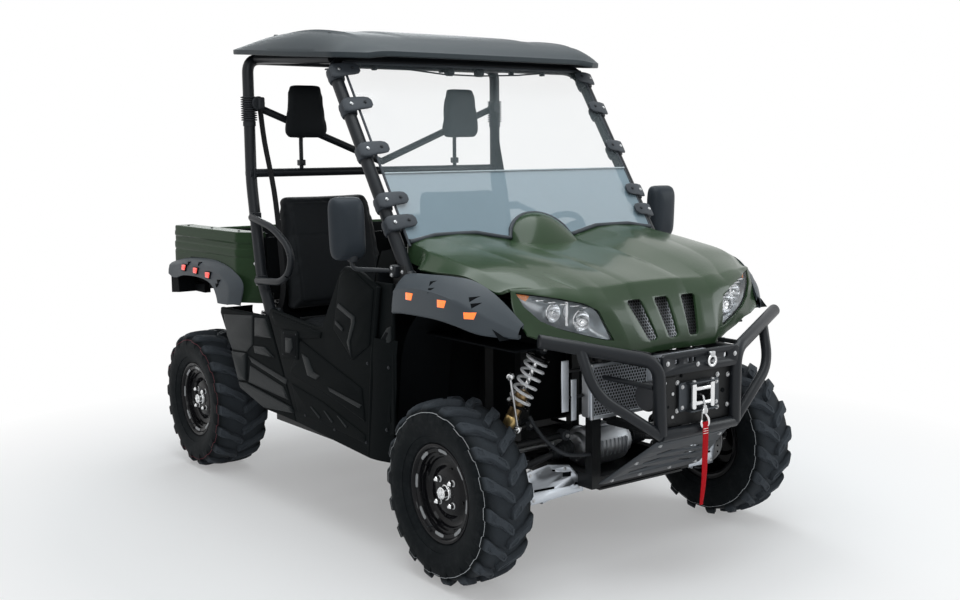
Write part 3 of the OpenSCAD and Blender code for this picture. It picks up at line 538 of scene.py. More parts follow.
def addRim(name, body, node, x0, y0, w, out):
    hw = w / 2
    f = Form()
    at = (x0, y0, 317.5)
    face = [(hw - 27, 169.5), (hw - 25, 170), (hw - 24.2, 168), (hw - 24.2, 163), (hw - 27, 158), (hw - 32, 155), (hw - 34, 153), (hw - 36, 141),
            (hw - 40, 139), (hw - 47, 138), (hw - 48, 131), (hw - 52, 130), (hw - 57, 129), (hw - 58, 122), (hw - 60, 121),
            (hw - 66, 118), (hw - 70, 108), (hw - 71, 96), (hw - 68, 88), (hw - 60, 80), (hw - 57.5, 72), (hw - 57, 40), (hw - 55, 38),
                (hw - 55, 28.1)]
    back = [(hw - 68, 28.1), (hw - 68, 76), (hw - 80, 92), (hw - 82, 118), (hw - 62, 143), (-(hw - 40), 143), (-(hw - 30), 146), (-(hw - 24.2), 160),
            (-(hw - 25), 170), (-(hw - 31), 169), (-(hw - 34), 153), (-(hw - 62), 150), (hw - 60, 150), (hw - 34, 158), (hw - 31, 168)]
    f.turned(face + back + [face[0]], at, (out, 0, 0), "rimBlack", wheel["sides"])
    for k in range(wheel["patches"]):  # machined flats round the lip
        mid = math.radians(5 + 360 * k / wheel["patches"])
        rings = []
        for t in range(7):
            a = mid + math.radians(9.5) * (t / 3 - 1)
            trim = 2.2 if t in (0, 6) else 0
            rings.append([(x0 + out * d, y0 - r * math.sin(a), 317.5 + r * math.cos(a))
                          for d, r in ((hw - 37, 141 + trim), (hw - 34.0, 141.5 + trim), (hw - 32.6, 153 - trim), (hw - 36, 153.5 - trim))])
        f.loft(rings, "machined")
        a = mid + math.radians(22.5)  # dark window between the flats
        rings = []
        for t in range(7):
            b = a + math.radians(7) * (t / 3 - 1)
            trim = 2.5 if t in (0, 6) else 0
            rings.append([(x0 + out * d, y0 - r * math.sin(b), 317.5 + r * math.cos(b))
                          for d, r in ((hw - 47.4, 124 + trim), (hw - 46.6, 124 + trim), (hw - 46.6, 137 - trim), (hw - 47.4, 137 - trim))])
        f.loft(rings, "rimBlack")
    for k in range(wheel["nuts"]):  # studs and domed nuts
        a = math.radians(45 + 360 * k / wheel["nuts"])
        p = Vector((x0, y0 - wheel["studR"] * math.sin(a), 317.5 + wheel["studR"] * math.cos(a)))
        d = Vector((out, 0, 0))
        f.turned([(hw - 58, 12), (hw - 55, 12), (hw - 54, 10.5)], p, d, "steel", 20, caps=True)
        f.turned([(hw - 55, 10), (hw - 40, 10), (hw - 37, 8), (hw - 34, 4.5), (hw - 33.4, 1)], p, d, "chrome", 6, caps=True)
    for a in (12, 104, 193, 284):  # balance holes
        p = Vector((x0, y0 - 84 * math.sin(math.radians(a)), 317.5 + 84 * math.cos(math.radians(a))))
        f.turned([(hw - 66, 6), (hw - 62.5, 6), (hw - 62, 4.6), (hw - 63.5, 4)], p, (out, 0, 0), "rimBlack", 16, caps=True)
    a = math.radians(206)
    p = Vector((x0, y0 - 144 * math.sin(a), 317.5 + 144 * math.cos(a)))
    f.turned([(hw - 42, 3.4), (hw - 30, 3.4), (hw - 28, 2.6), (hw - 19, 2.6), (hw - 18, 1.8)], p, (out, 0, 0), "rubber", 14, caps=True)  # valve
    return f.make(name, body, node, "rim_black", smooth=28)


def addHub(f, x0, y0, w, out):  # what stands in the rim's bore: cap, castle nut, flange
    hw = w / 2
    at = (x0, y0, 317.5)
    f.turned([(hw - 76, 27.8), (hw - 54, 27.8), (hw - 53, 27), (hw - 50, 27), (hw - 49, 24), (hw - 47, 23), (hw - 33, 21.5), (hw - 31, 19),
        (hw - 30.6, 0.5)],
             at, (out, 0, 0), "chrome", 40, caps=True)
    for k in range(6):
        a = 2 * math.pi * k / 6
        p = Vector((x0, y0 + 15 * math.cos(a), 317.5 + 15 * math.sin(a)))
        f.turned([(hw - 32, 4), (hw - 28.6, 3.6), (hw - 28, 0.5)], p, (out, 0, 0), "chrome", 12, caps=True)
    f.turned([(hw - 31, 9), (hw - 27.5, 9), (hw - 25.6, 7), (hw - 25.2, 0.5)], at, (out, 0, 0), "chrome", 6, caps=True)


def addKnuckle(name, body, node, s):
    f = Form()
    x0, y, z, kp = s * 648, -850, 317.5, s * 540
    addHub(f, x0, y, 203, s)
    f.rod((kp + s * 4, y, z), (x0 + s * 36, y, z), 24, "iron", 32)
    f.rod((kp, y, z - 86), (kp, y, z + 86), 16.5, "iron", 24)
    rings = []
    for dz, half, deep in ((-80, 14, 14), (-52, 20, 20), (-34, 34, 27), (0, 46, 30), (34, 34, 27), (52, 20, 20), (80, 14, 14)):
        rings.append([(kp + s * (a * deep * 0.5 + 4), y + b * half, z + dz) for a,
            b in ((-1, -0.7), (-0.6, -1), (0.6, -1), (1, -0.7), (1, 0.7), (0.6, 1), (-0.6, 1), (-1, 0.7))])
    f.loft(rings, "iron")
    f.loft([[(kp + s * (9 * a), y + 20, z + 26 + 9 * b) for a, b in ((-1, -1), (1, -1), (1, 1), (-1, 1))],
            [(kp + s * (8 * a), y + 96, z + 26 + 7 * b) for a, b in ((-1, -1), (1, -1), (1, 1), (-1, 1))],
            [(kp + s * (12 * a), y + 111, z + 26 + 7 * b) for a, b in ((-1, -1), (1, -1), (1, 1), (-1, 1))]], "iron")
    f.turned([(kp * s + 22, 44), (kp * s + 26, 44), (kp * s + 26, 60), (kp * s + 22, 60)], (0, y, z), (s, 0, 0), "iron", 40)
    f.turned([(kp * s + 24.5, 56), (kp * s + 24.5, 99), (kp * s + 25.5, 99.6), (kp * s + 33, 99.6), (kp * s + 33.6, 99), (kp * s + 33.6, 56)],
        (0, y, z), (s, 0, 0), "steel", 64, caps=True)
    for k in range(24):  # drilled rows: dark plugs where the holes are, as painted shade
        a = 2 * math.pi * k / 24
        r = 72 + 9 * (k % 3)
        p = Vector((0, y + r * math.cos(a), z + r * math.sin(a)))
        f.turned([(kp * s + 24.2, 4.4), (kp * s + 34.0, 4.4)], p, (s, 0, 0), "liner", 14, caps=True)
    a0 = math.radians(150)  # calliper behind the disc
    rings = []
    for t in range(7):
        a = a0 + math.radians(30) * (t / 3 - 1)
        rings.append([(kp + s * d, y + r * -math.cos(a), z + r * math.sin(a)) for d,
            r in ((14, 70), (44, 70), (46, 80), (46, 104), (42, 110), (16, 110), (12, 104), (12, 78))])
    f.loft(rings, "alloy")
    for zz in (-96, 96):
        f.turned([(-10, 15), (6, 17), (10, 15), (12, 10)], (kp, y, z + zz * 0.86), (0, 0, math.copysign(1, zz)), "rubber", 24, caps=True)
    return f.make(name, body, node, "cast", bevel=0.8, smooth=38)


def addWheels():
    for side, s in (("right", -1), ("left", 1)):
        addTyre("frontTyre_" + side, "front_%s_wheel" % side, "front_%s_tyre" % side, s * 648, -850, 203, "frontTyre")
        addRim("frontRim_" + side, "front_%s_wheel" % side, "front_%s_rim" % side, s * 648, -850, 203, s)
        addTyre("rearTyre_" + side, "rear_%s_wheel" % side, "rear_%s_tyre" % side, s * 625, 1130, 254, "rearTyre")
        addRim("rearRim_" + side, "rear_%s_wheel" % side, "rear_%s_rim" % side, s * 625, 1130, 254, s)
        addKnuckle("knuckle_%s_casting" % side, "knuckle_" + side, "knuckle_" + side, s)
    print("wheels are on")


addWheels()
from mathutils.bvhtree import BVHTree


def curveThrough(rows, steps):  # smooth rows between the given rows (a grid of points)
    out = []
    n = len(rows)
    for i in range(n - 1):
        a, b, c, d = rows[max(i - 1, 0)], rows[i], rows[i + 1], rows[min(i + 2, n - 1)]
        for k in range(steps):
            t = k / steps
            out.append([(p1 * 2 + (p2 - p0) * t + (p0 * 2 - p1 * 5 + p2 * 4 - p3) * t * t + (p1 * 3 - p0 - p2 * 3 + p3) * t ** 3) * 0.5
                        for p0, p1, p2, p3 in zip(*[[Vector(q) for q in r] for r in (a, b, c, d)])])
    out.append([Vector(p) for p in rows[-1]])
    return out


def across(grid): return [list(r) for r in zip(*grid)]


def curveAlong(path, steps): return [r[0] for r in curveThrough([[p] for p in path], steps)]


def fine(outline, size=14):  # extra points along an outline
    out = []
    for i, p in enumerate(outline):
        q = outline[(i + 1) % len(outline)]
        n = max(1, int(math.dist(p, q) / size))
        out += [tuple(a + (b - a) * k / n for a, b in zip(p, q)) for k in range(n)]
    return out


class Skin:  # a surface that other pieces lie on; all in millimetres from the datum
    def __init__(self, form):
        faces = [f for f in form.faces]
        self.tree = BVHTree.FromPolygons([Vector(v) for v in form.verts], faces)

    def at(self, p, way):  # first point met from p along way, and the normal against it
        hit, normal, _, _ = self.tree.ray_cast(Vector(p), Vector(way))
        if hit is None: hit, normal, _, _ = self.tree.find_nearest(Vector(p) + Vector(way) * 100)
        if normal.dot(Vector(way)) > 0: normal = -normal
        return hit, normal


def layOn(f, skin, outline, look, height, finish, sink=3, slope=2):  # raised patch: its outline is in the other two axes
    def start(p):
        return {"-x": (-1400, p[0], p[1]), "+x": (1400, p[0], p[1]), "-y": (p[0], -2000, p[1]), "+z": (p[0], p[1], 2600),
            "+y": (p[0], 2000, p[1])}[look]
    way = {"-x": (1, 0, 0), "+x": (-1, 0, 0), "-y": (0, 1, 0), "+z": (0, 0, -1), "+y": (0, -1, 0)}[look]
    edge = fine(outline)
    rings = []
    for shape, h in ((edge, -sink), (edge, height - min(slope, abs(height)) * 0.5), (inset(edge, slope), height)):
        ring = []
        for p in shape:
            hit, normal = skin.at(start(p), way)
            ring.append(hit + normal * h)
        rings.append(ring)
    f.loft(rings, finish, caps=False)
    f.add(rings[-1], [tuple(range(len(edge)))], finish)
    return f


hoodShape = {"rings": [  # half rings: middle, crease, ridge, crest, shoulder, lower edge
    [(0, -468, 1122), (150, -468, 1126), (300, -468, 1150), (480, -470, 1150), (580, -478, 1134), (596, -492, 1070)],
    [(0, -580, 1100), (150, -580, 1104), (300, -580, 1131), (472, -580, 1131), (586, -580, 1116), (598, -580, 1056)],
    [(0, -650, 1090), (150, -650, 1094), (296, -650, 1118), (460, -650, 1118), (600, -650, 1104), (650, -650, 1052)],
    [(0, -750, 1078), (150, -750, 1082), (288, -750, 1104), (440, -750, 1104), (600, -750, 1088), (652, -750, 1048)],
    [(0, -900, 1052), (140, -900, 1056), (268, -900, 1074), (420, -900, 1074), (592, -900, 1062), (636, -900, 1043)],
    [(0, -1030, 1024), (134, -1030, 1027), (252, -1030, 1034), (400, -1020, 1036), (565, -985, 1030), (602, -1010, 1000)],
    [(0, -1118, 1003), (130, -1120, 1002), (250, -1120, 997), (350, -1108, 999), (480, -1080, 1006), (570, -1046, 1010)],
    [(0, -1150, 956), (130, -1152, 955), (250, -1160, 954), (350, -1154, 962), (480, -1102, 982), (574, -1060, 960)],
    [(0, -1186, 890), (120, -1188, 890), (230, -1192, 890), (360, -1166, 894), (484, -1112, 915), (566, -1080, 912)],
    [(0, -1218, 825), (110, -1219, 825), (214, -1218, 826), (366, -1168, 846), (494, -1122, 866), (556, -1100, 884)],
    [(0, -1222, 783), (100, -1224, 783), (200, -1226, 783), (372, -1170, 826), (500, -1126, 850), (552, -1110, 868)]],
    "wall": 9, "slots": [(-129, -99), (0, 0), (129, 99)], "slotHalf": (34, 24), "slotZ": (958, 824),
    "hump": {"half": 152, "rear": -470, "foot": -612, "rise": 100}}


lampEdge = [(262, 838), (300, 936), (350, 963), (430, 983), (510, 998), (560, 1006), (545, 962), (500, 914), (440, 884), (350, 856), (290, 840)]


def hoodRow(ring):  # whole row with the ridges kept crisp by points either side of them
    half = []
    for i in range(5):
        a, b = Vector(ring[i]), Vector(ring[i + 1])
        for t in ((0.0, 0.06, 0.5, 0.94) if i in (1, 2, 3, 4) else (0.0, 0.33, 0.66, 0.94)):
            crown = 5.5 * math.sin(math.pi * t) if i in (2, 3) else (2 if i == 0 else 0)
            half.append(a.lerp(b, t) + Vector((0, 0, crown)))
    half.append(Vector(ring[5]))
    return [Vector((-p.x, p.y, p.z)) for p in half[:0:-1]] + half


def buildHoodSkin():
    rings = hoodShape["rings"]
    top, nose = curveThrough([hoodRow(r) for r in rings[:7]], 5), curveThrough([hoodRow(r) for r in rings[6:]], 4)
    rows = top[:-1] + [[(a * 0.86 + b * 0.14) for a, b in zip(top[-1], top[-2])]] + [[a * 0.86 + b * 0.14 for a,
        b in zip(nose[0], nose[1])]] + nose[1:]
    f = Form()
    f.grid(rows, "green")
    return f


def humpRows():
    h = hoodShape["hump"]
    rows = []
    for i in range(15):
        t = i / 14
        y = h["foot"] + (h["rear"] - h["foot"]) * t
        row = []
        for k in range(-14, 15):
            x = h["half"] * 1.08 * k / 14
            arch = max(0.0, 1 - (x / h["half"]) ** 2) ** 0.55
            side = max(0.0, min(1.0, (t - 0.12 * (abs(x) / h["half"]) ** 2) / 0.9))
            base = 1096.5 + (y + 612) * 0.19
            row.append((x, y, base - 2 + h["rise"] * arch * math.sin(side * math.pi / 2) ** 0.8))
        rows.append(row)
    return rows


def addHood():
    skinForm = buildHoodSkin()
    hood = skinForm.make("hoodShell", "chassis", "hood", "green_paint", thick=hoodShape["wall"], smooth=30)
    surface = Skin(skinForm)
    for (topX, lowX) in hoodShape["slots"]:
        c = Form()
        wide, narrow = hoodShape["slotHalf"]
        z1, z0 = hoodShape["slotZ"]
        edge = [(topX - wide, z1 - 8), (topX - wide + 8, z1), (topX + wide - 8, z1), (topX + wide, z1 - 8), (lowX + narrow, z0 + 8),
            (lowX + narrow - 8, z0), (lowX - narrow + 8, z0), (lowX - narrow, z0 + 8)]
        c.prism(edge, "y", -1300, -1080, "green")
        cutter = c.make("slotCutter", "chassis")
        cutBy(hood, cutter)
    for s in (-1, 1):
        c = Form()
        c.prism([(s * x, z) for x, z in lampEdge], "y", -1300, -985, "green")
        cutBy(hood, c.make("lampCutter", "chassis"))
    mod = hood.modifiers.new("edges", "BEVEL"); mod.width, mod.segments, mod.limit_method, mod.angle_limit = 0.0022, 2, "ANGLE", math.radians(50)
    applyModifiers(hood)
    hood.data.shade_smooth(); hood.data.set_sharp_from_angle(angle=math.radians(32))
    f = Form()
    rows = humpRows()
    f.grid(rows, "green")
    f.grid([rows[-1], [(x, y + 2, 1100) for x, y, z in rows[-1]]], "green")
    for sx in (-1, 1):  # small lobes beside the hump
        lobe = []
        for i in range(9):
            t = i / 8
            y = -592 + 118 * t
            lobe.append([(sx * (200 + 46 * k / 6), y, 1094 + (y + 612) * 0.19 + 3 + 26 * math.sin(math.pi * min(1, t * 0.9) / 2) * max(0,
                1 - (k / 6) ** 2) ** 0.6) for k in range(-6, 7)])
        f.grid(lobe, "green")
    for topX, lowX in hoodShape["slots"]:  # raised rims round the slots
        for sx in (-1, 1):
            z1, z0 = hoodShape["slotZ"]
            wide, narrow = hoodShape["slotHalf"]
            layOn(f, surface, [(topX + sx * (wide + 3), z1 - 2), (topX + sx * (wide + 11), z1 + 2), (lowX + sx * (narrow + 10), z0 - 2),
                (lowX + sx * (narrow + 3), z0 + 2)][::sx], "-y", 5, "green", slope=3)
    layOn(f, surface, [(26 * math.cos(a), -1076 + 15 * math.sin(a)) for a in (2 * math.pi * k / 24 for k in range(24))], "+z", 1.6, "green",
        slope=2)  # plain oval seat
    f.make("hoodDetails", "chassis", slot="green_paint", smooth=42)
    g = Form()
    g.grid([[(x, -1128 - (958 - z) * 0.43 + 3, z) for x in range(-190, 191, 38)] for z in range(968, 806, -16)], "grilleNet")
    for z in (964, 822): g.box((-196, -1128 - (958 - z) * 0.43 + 8, z - 8), (196, -1128 - (958 - z) * 0.43 + 18, z + 6), "liner", 3)
    for x in (-68, 58): g.loft([[(x + a, -1128 - (958 - z) * 0.43 + b, z) for a, b in ((-5, 6), (5, 6), (5, 14), (-5, 14))] for z in (966, 816)],
            "liner")
    g.make("grilleMesh", "chassis", "grille", "black_plastic", thick=1.2)
    print("hood is on")
    return surface


def addHeadlights(surface):
    f, lens = Form(), Form()
    for s in (-1, 1):
        low = curveAlong([(262, 838, 0), (290, 840, 0), (350, 856, 0), (440, 884, 0), (500, 914, 0), (545, 962, 0), (560, 1006, 0)], 4)
        high = curveAlong([(262, 838, 0), (278, 885, 0), (300, 936, 0), (350, 963, 0), (430, 983, 0), (510, 998, 0), (560, 1006, 0)], 4)
        outerRows, backRows = [], []
        for a, b in zip(low, high):
            o, d = [], []
            for k in range(9):
                t = k / 8
                x, z = a.x + (b.x - a.x) * t, a.y + (b.y - a.y) * t
                hit, n = surface.at((s * x, -2000, z), (0, 1, 0))
                bulge = 7 * math.sin(math.pi * t) ** 0.6
                o.append(hit + n * (bulge - 2.5))
                deep = math.sin(math.pi * t) ** 0.45 * min(1, (x - 255) / 40, (566 - x) / 40 if x < 566 else 0)
                d.append(hit + n * (-6) + Vector((0, 58 * max(0, deep), 0)))
            outerRows.append(o); backRows.append(d)
        lens.grid(outerRows, "lens")
        f.grid(backRows, "lampBody")
        edge = [r[0] for r in outerRows] + [r[-1] for r in outerRows[::-1]]
        f.tube([p + Vector((0, 2, 0)) for p in edge], 3.4, "liner", 8)  # dark surround
        for x, z, r, y in ((352, 905, 36, -1146), (438, 934, 31, -1106)):  # bowls: main and dipped
            at = Vector((s * x, y, z))
            f.turned([(0, r), (-1.5, r - 1.5), (6, r * 0.92), (16, r * 0.72), (25, r * 0.44), (30, 7)], at, (0.0, 1, 0), "reflector", 36)
            f.turned([(8, 6), (6, 7.5), (-2, 7.5), (-7, 5), (-8.5, 0.5)], at + Vector((0, 10, 0)), (0, 1, 0), "chrome", 18, caps=True)
        f.loft([[(s * x, y, z) for x, y, z in q] for q in
                (((392, -1128, 890), (402, -1126, 890), (400, -1124, 970), (391, -1126, 968)),
                    ((392, -1092, 890), (402, -1090, 890), (400, -1088, 970), (391, -1090, 968)))], "reflector")
        for k in range(5):  # brow blades over the bowls
            x = 318 + 38 * k
            hit, n = surface.at((s * x, -2000, 948 + 7 * k), (0, 1, 0))
            f.box((min(s * x, s * (x + 30)), hit.y + 12, 945 + 7.5 * k), (max(s * x, s * (x + 30)), hit.y + 40, 950 + 7.5 * k), "reflector", 1.2)
        amber = []
        for a, b in zip(low[20:24], high[20:24]):  # outer corner lamp
            row = []
            for k in range(5):
                t = 0.45 + 0.5 * k / 4
                x, z = a.x + (b.x - a.x) * t, a.y + (b.y - a.y) * t
                hit, n = surface.at((s * x, -2000, z), (0, 1, 0))
                row.append(hit + n * -7)
            amber.append(row)
        f.grid(amber, "amberClear")
    f.make("headlightHousings", "chassis", slot="lamp_clear", smooth=40, thick=1.0)
    lens.make("headlights_lenses", "chassis", "headlights", "lamp_clear", smooth=60, thick=2.0)
    print("headlights are in")


flareRows = [(-572, 668, 1030, 714, 978, 722, 908), (-640, 668, 1040, 718, 994, 728, 916), (-740, 668, 1044, 718, 1000, 728, 918),
             (-850, 656, 1045, 714, 992, 724, 916), (-940, 636, 1036, 702, 972, 712, 904), (-1020, 608, 994, 664, 936, 672, 880),
                 (-1108, 566, 906, 584, 884, 586, 868)]


def addFrontFlares():
    rows = []
    for y, x0, z0, x1, z1, x2, z2 in flareRows:
        a, b, c = Vector((x0, y, z0)), Vector((x1, y, z1)), Vector((x2, y, z2))
        rows.append([a + Vector((1, 0, -13)), a, a.lerp(b, 0.06), a.lerp(b, 0.5) + Vector((2, 0, 3)), a.lerp(b, 0.92), b, b.lerp(c, 0.1),
            b.lerp(c, 0.5) + Vector((1, 0, 0)),
                     b.lerp(c, 0.93), c, c + Vector((-2, 0, -3)), c + Vector((-10, 0, -2)), c + Vector((-11, 0, 6))])
    grid = curveThrough(rows, 5)
    f = Form()
    base = Form().grid(grid, "flare")
    skin = Skin(base)
    f.grid(grid, "flare")
    f.grid([grid[0], [p + Vector((-16, 4, -4)) for p in grid[0]]], "flare")
    for y, z in ((-688, 972), (-870, 964), (-985, 934)):  # reflector seats and lenses
        k = 0.8 if y > -900 else 0.72
        seat = [(y + 34 * k, z + 20 * k), (y - 34 * k, z + 20 * k), (y - 25 * k, z - 20 * k), (y + 25 * k, z - 20 * k)]
        layOn(f, skin, seat, "+x", 3.0, "liner", slope=3)
        layOn(f, skin, inset(seat, 4), "+x", 5.5, "amber", slope=2)
    for y, z in ((-786, 1022), (-800, 1002), (-975, 985), (-990, 966), (-1066, 935)):  # small moulded triangles
        layOn(f, skin, [(y - 13, z + 8), (y + 13, z + 4), (y + 4, z - 9)], "+x", 1.2, "liner", slope=0.8)
    Form().mirrored(f).make("frontFlares", "chassis", "front_flares", "grey_plastic", smooth=34, thick=4.0)
    print("front flares are on")


hoodSurface = addHood()
addHeadlights(hoodSurface)
addFrontFlares()
sideShape = {"outline": [(-391, 346), (155, 380), (377, 800), (360, 822), (-20, 790), (-70, 800), (-215, 1020), (-250, 1042), (-330, 1040),
    (-470, 985), (-429, 740)],
             "raised": [  # outline, height, slope
                 ([(-252, 1026), (-335, 1024), (-455, 974), (-420, 770), (-300, 700), (-165, 800), (-222, 1005)], 7, 9),
                 ([(336, 812), (158, 794), (-69, 774), (-62, 752), (100, 730), (318, 764)], 6, 5),
                 ([(96, 724), (-140, 660), (-360, 602), (-378, 480), (-69, 545), (196, 578)], 6, 7),
                 ([(186, 536), (-69, 502), (-378, 430), (-376, 398), (140, 432)], 4, 6)],
             "facets": [
                 ([(-214, 904), (-332, 864), (-331, 839), (-292, 766), (-301, 705), (-272, 762), (-305, 835), (-306, 852), (-205, 886)], 11, 3),
                 ([(-192, 836), (-246, 811), (-240, 800), (-188, 822)], 11, 2),
                 ([(83, 673), (29, 660), (-8, 612), (-60, 604), (-26, 585), (40, 592)], 11, 5),
                 ([(-116, 570), (-365, 541), (-347, 526), (-135, 555)], 10, 4),
                 ([(27, 468), (20, 470), (-48, 440), (-45, 432)], 8, 2), ([(-79, 470), (-86, 472), (-146, 440), (-141, 433)], 8, 2),
                 ([(-180, 468), (-188, 470), (-252, 440), (-247, 433)], 8, 2)]}


rearShape = {"outline": [(160, 380), (300, 385), (440, 387), (673, 459), (734, 593), (846, 755), (840, 780), (388, 786)],
             "raised": [
                 ([(806, 752), (520, 776), (530, 652), (590, 612), (730, 604), (780, 660)], 5, 10),
                     ([(730, 596), (592, 606), (602, 486), (672, 478)], 12, 9),
                 ([(668, 470), (600, 476), (200, 438), (176, 416), (436, 396), (655, 446)], 11, 7),
                     ([(516, 648), (414, 655), (334, 622), (506, 618)], 8, 5),
                 ([(572, 596), (222, 545), (236, 524), (540, 572)], 6, 5), ([(500, 770), (404, 776), (352, 700), (508, 690)], 6, 6),
                 ([(580, 480), (220, 462), (260, 510), (560, 556)], 5, 8)]}


def flatSkin(x): return Skin(Form().add([(x, -1500, 0), (x, 1500, 0), (x, 1500, 2000), (x, -1500, 2000)], [(0, 1, 2, 3)], "panel"))


def sidePanel(f):
    skin = flatSkin(720)
    f.prism(sideShape["outline"], "x", 702, 720, "panel", cut=5)
    for outline, height, slope in sideShape["raised"]: layOn(f, skin, outline, "+x", height, "panel", slope=slope)
    # facets in the lighter plastic: painted highlight
    for outline, height, slope in sideShape["facets"]: layOn(f, skin, outline, "+x", height, "panelPaintedHighlight", slope=slope)
    pocket = [(238, 750), (112, 758), (104, 750), (110, 650), (118, 642), (245, 634), (254, 642), (247, 742)]
    layOn(f, skin, pocket, "+x", 11, "panel", slope=4)
    layOn(f, skin, [(228, 736), (124, 742), (126, 656), (232, 648)], "+x", 12, "liner", slope=1)
    layOn(f, skin, [(206, 722), (150, 724), (144, 690), (168, 664), (206, 662)], "+x", 17, "panelPaintedHighlight", slope=5)
    for y, z in ((226, 738), (122, 744), (128, 656), (236, 650)): f.bolt((728, y, z), (1, 0, 0), 4.2, "rubber")
    path = curveAlong([(712, y, z) for y, z in ((-429, 740), (-452, 862), (-474, 985))], 4)
    f.tube([(712, -391, 350), (712, -410, 560), (712, -427, 735)] + path[1:], 9, "panel", 14)
    f.tube([(711, 155, 382), (711, 268, 612), (711, 376, 799)], 7, "panel", 12)
    for y, z in ((-380, 402), (-150, 408), (80, 424), (-400, 700), (330, 792), (-440, 960)): f.bolt((720, y, z), (1, 0, 0), 4.5, "rubber")


def rearPanel(f):
    skin = flatSkin(718)
    f.prism(rearShape["outline"], "x", 700, 718, "panel", cut=4)
    # raised facets in the lighter plastic: painted highlight
    for outline, height, slope in rearShape["raised"]: layOn(f, skin, outline, "+x", height, "panelPaintedHighlight", slope=slope)
    f.box((630, 428, 640), (700, 438, 780), "panel", 2)
    inner = [(y, z) for y, z in rearShape["outline"][3:7]]
    f.grid([[(x, y + 2, z - 3) for y, z in inner] for x in (560, 630, 702)], "liner")  # mudguard behind the panel
    for y, z in ((420, 402), (560, 438), (200, 424), (400, 760)): f.bolt((718, y, z), (1, 0, 0), 4.5, "rubber")


def innerFender(f):
    f.box((420, -1050, 806), (556, -460, 814), "liner", 2)
    f.box((420, -1050, 814), (428, -460, 1000), "liner", 2)
    f.prism([(-540, 460), (-432, 412), (-432, 1000), (-545, 1000), (-545, 860)], "x", 690, 700, "panel", cut=3)
    well = curveAlong([(0, -452, 400), (0, -486, 520), (0, -505, 640), (0, -520, 740), (0, -560, 830), (0, -640, 905), (0, -760, 948), (0, -900, 950),
        (0, -1020, 915), (0, -1090, 860)], 4)
    f.grid([[(x, p.y, p.z + 0.02 * (640 - x)) for p in well] for x in (430, 520, 600, 648)], "liner")
    skin = flatSkin(700)
    layOn(f, skin, [(-425, 752), (-513, 842), (-538, 850), (-538, 800), (-470, 742)], "+x", 10, "panelPaintedHighlight", slope=8)
    layOn(f, skin, [(-446, 762), (-512, 828), (-528, 826), (-482, 762)], "+x", 11, "liner", slope=2)
    layOn(f, skin, [(-445, 480), (-440, 720), (-520, 690), (-520, 500)], "+x", 5, "panel", slope=6)
    front = [(348, -391, 346), (500, -412, 500), (637, -427, 637), (740, -429, 740), (800, -440, 800)]
    f.grid([[(719 - 26 * t * t, y - 6 - 118 * t, z) for z, y, _ in front] for t in (0, 0.15, 0.35, 0.6, 0.85, 1)], "panel", flip=True)
    f.bolt((706, -500, 470), (1, 0, 0), 5, "rubber")
    f.bolt((706, -520, 700), (1, 0, 0), 5, "rubber")


def addPanels():
    Form().both(sidePanel).make("sidePanels", "chassis", "side_panels", "black_plastic", bevel=1.2, smooth=40)
    Form().both(rearPanel).make("rearPanels", "chassis", "rear_panels", "black_plastic", bevel=1.2, smooth=40)
    Form().both(innerFender).make("innerFenders", "chassis", "inner_fenders", "black_plastic", smooth=40)
    print("panels are on")


addPanels()
guard = {"corner": (186, -1340, 775), "tip": (566, -1190, 864), "foot": (178, -1346, 528), "joint": (441, -1241, 835), "elbow": (420, -1290, 690),
    "r": 22}


def guardSide(f):
    g = guard
    f.tube(rounded([g["foot"], g["corner"], g["tip"]], 62, 8), g["r"], "tube", 24)
    end = Vector(g["tip"]) - Vector(g["corner"])
    f.turned([(-14, 22.3), (-2, 22.3), (1, 20), (2.4, 14), (2.8, 1)], g["tip"], end, "tube", 24)
    f.tube(rounded([g["joint"], g["elbow"], g["foot"]], 70, 8), g["r"] - 4, "tube", 22)
    f.box((150, -1330, 520), (178, -1080, 548), "framePaint", 3)
    f.box((205, -1330, 758), (233, -1080, 784), "framePaint", 3)
    f.box((205, -1324, 790), (213, -1240, 806), "framePaint", 2)
    f.tube([(236, -1100, 700), (236, -1180, 700), (200, -1330, 690)], 9, "tube", 12)
    f.prism([(-1128, 742), (-1090, 742), (-1090, 800), (-1128, 800)], "x", 236, 241, "framePaint")
    for y in (-1300, -1120): f.bolt((233, y, 771), (1, 0, 0), 6)


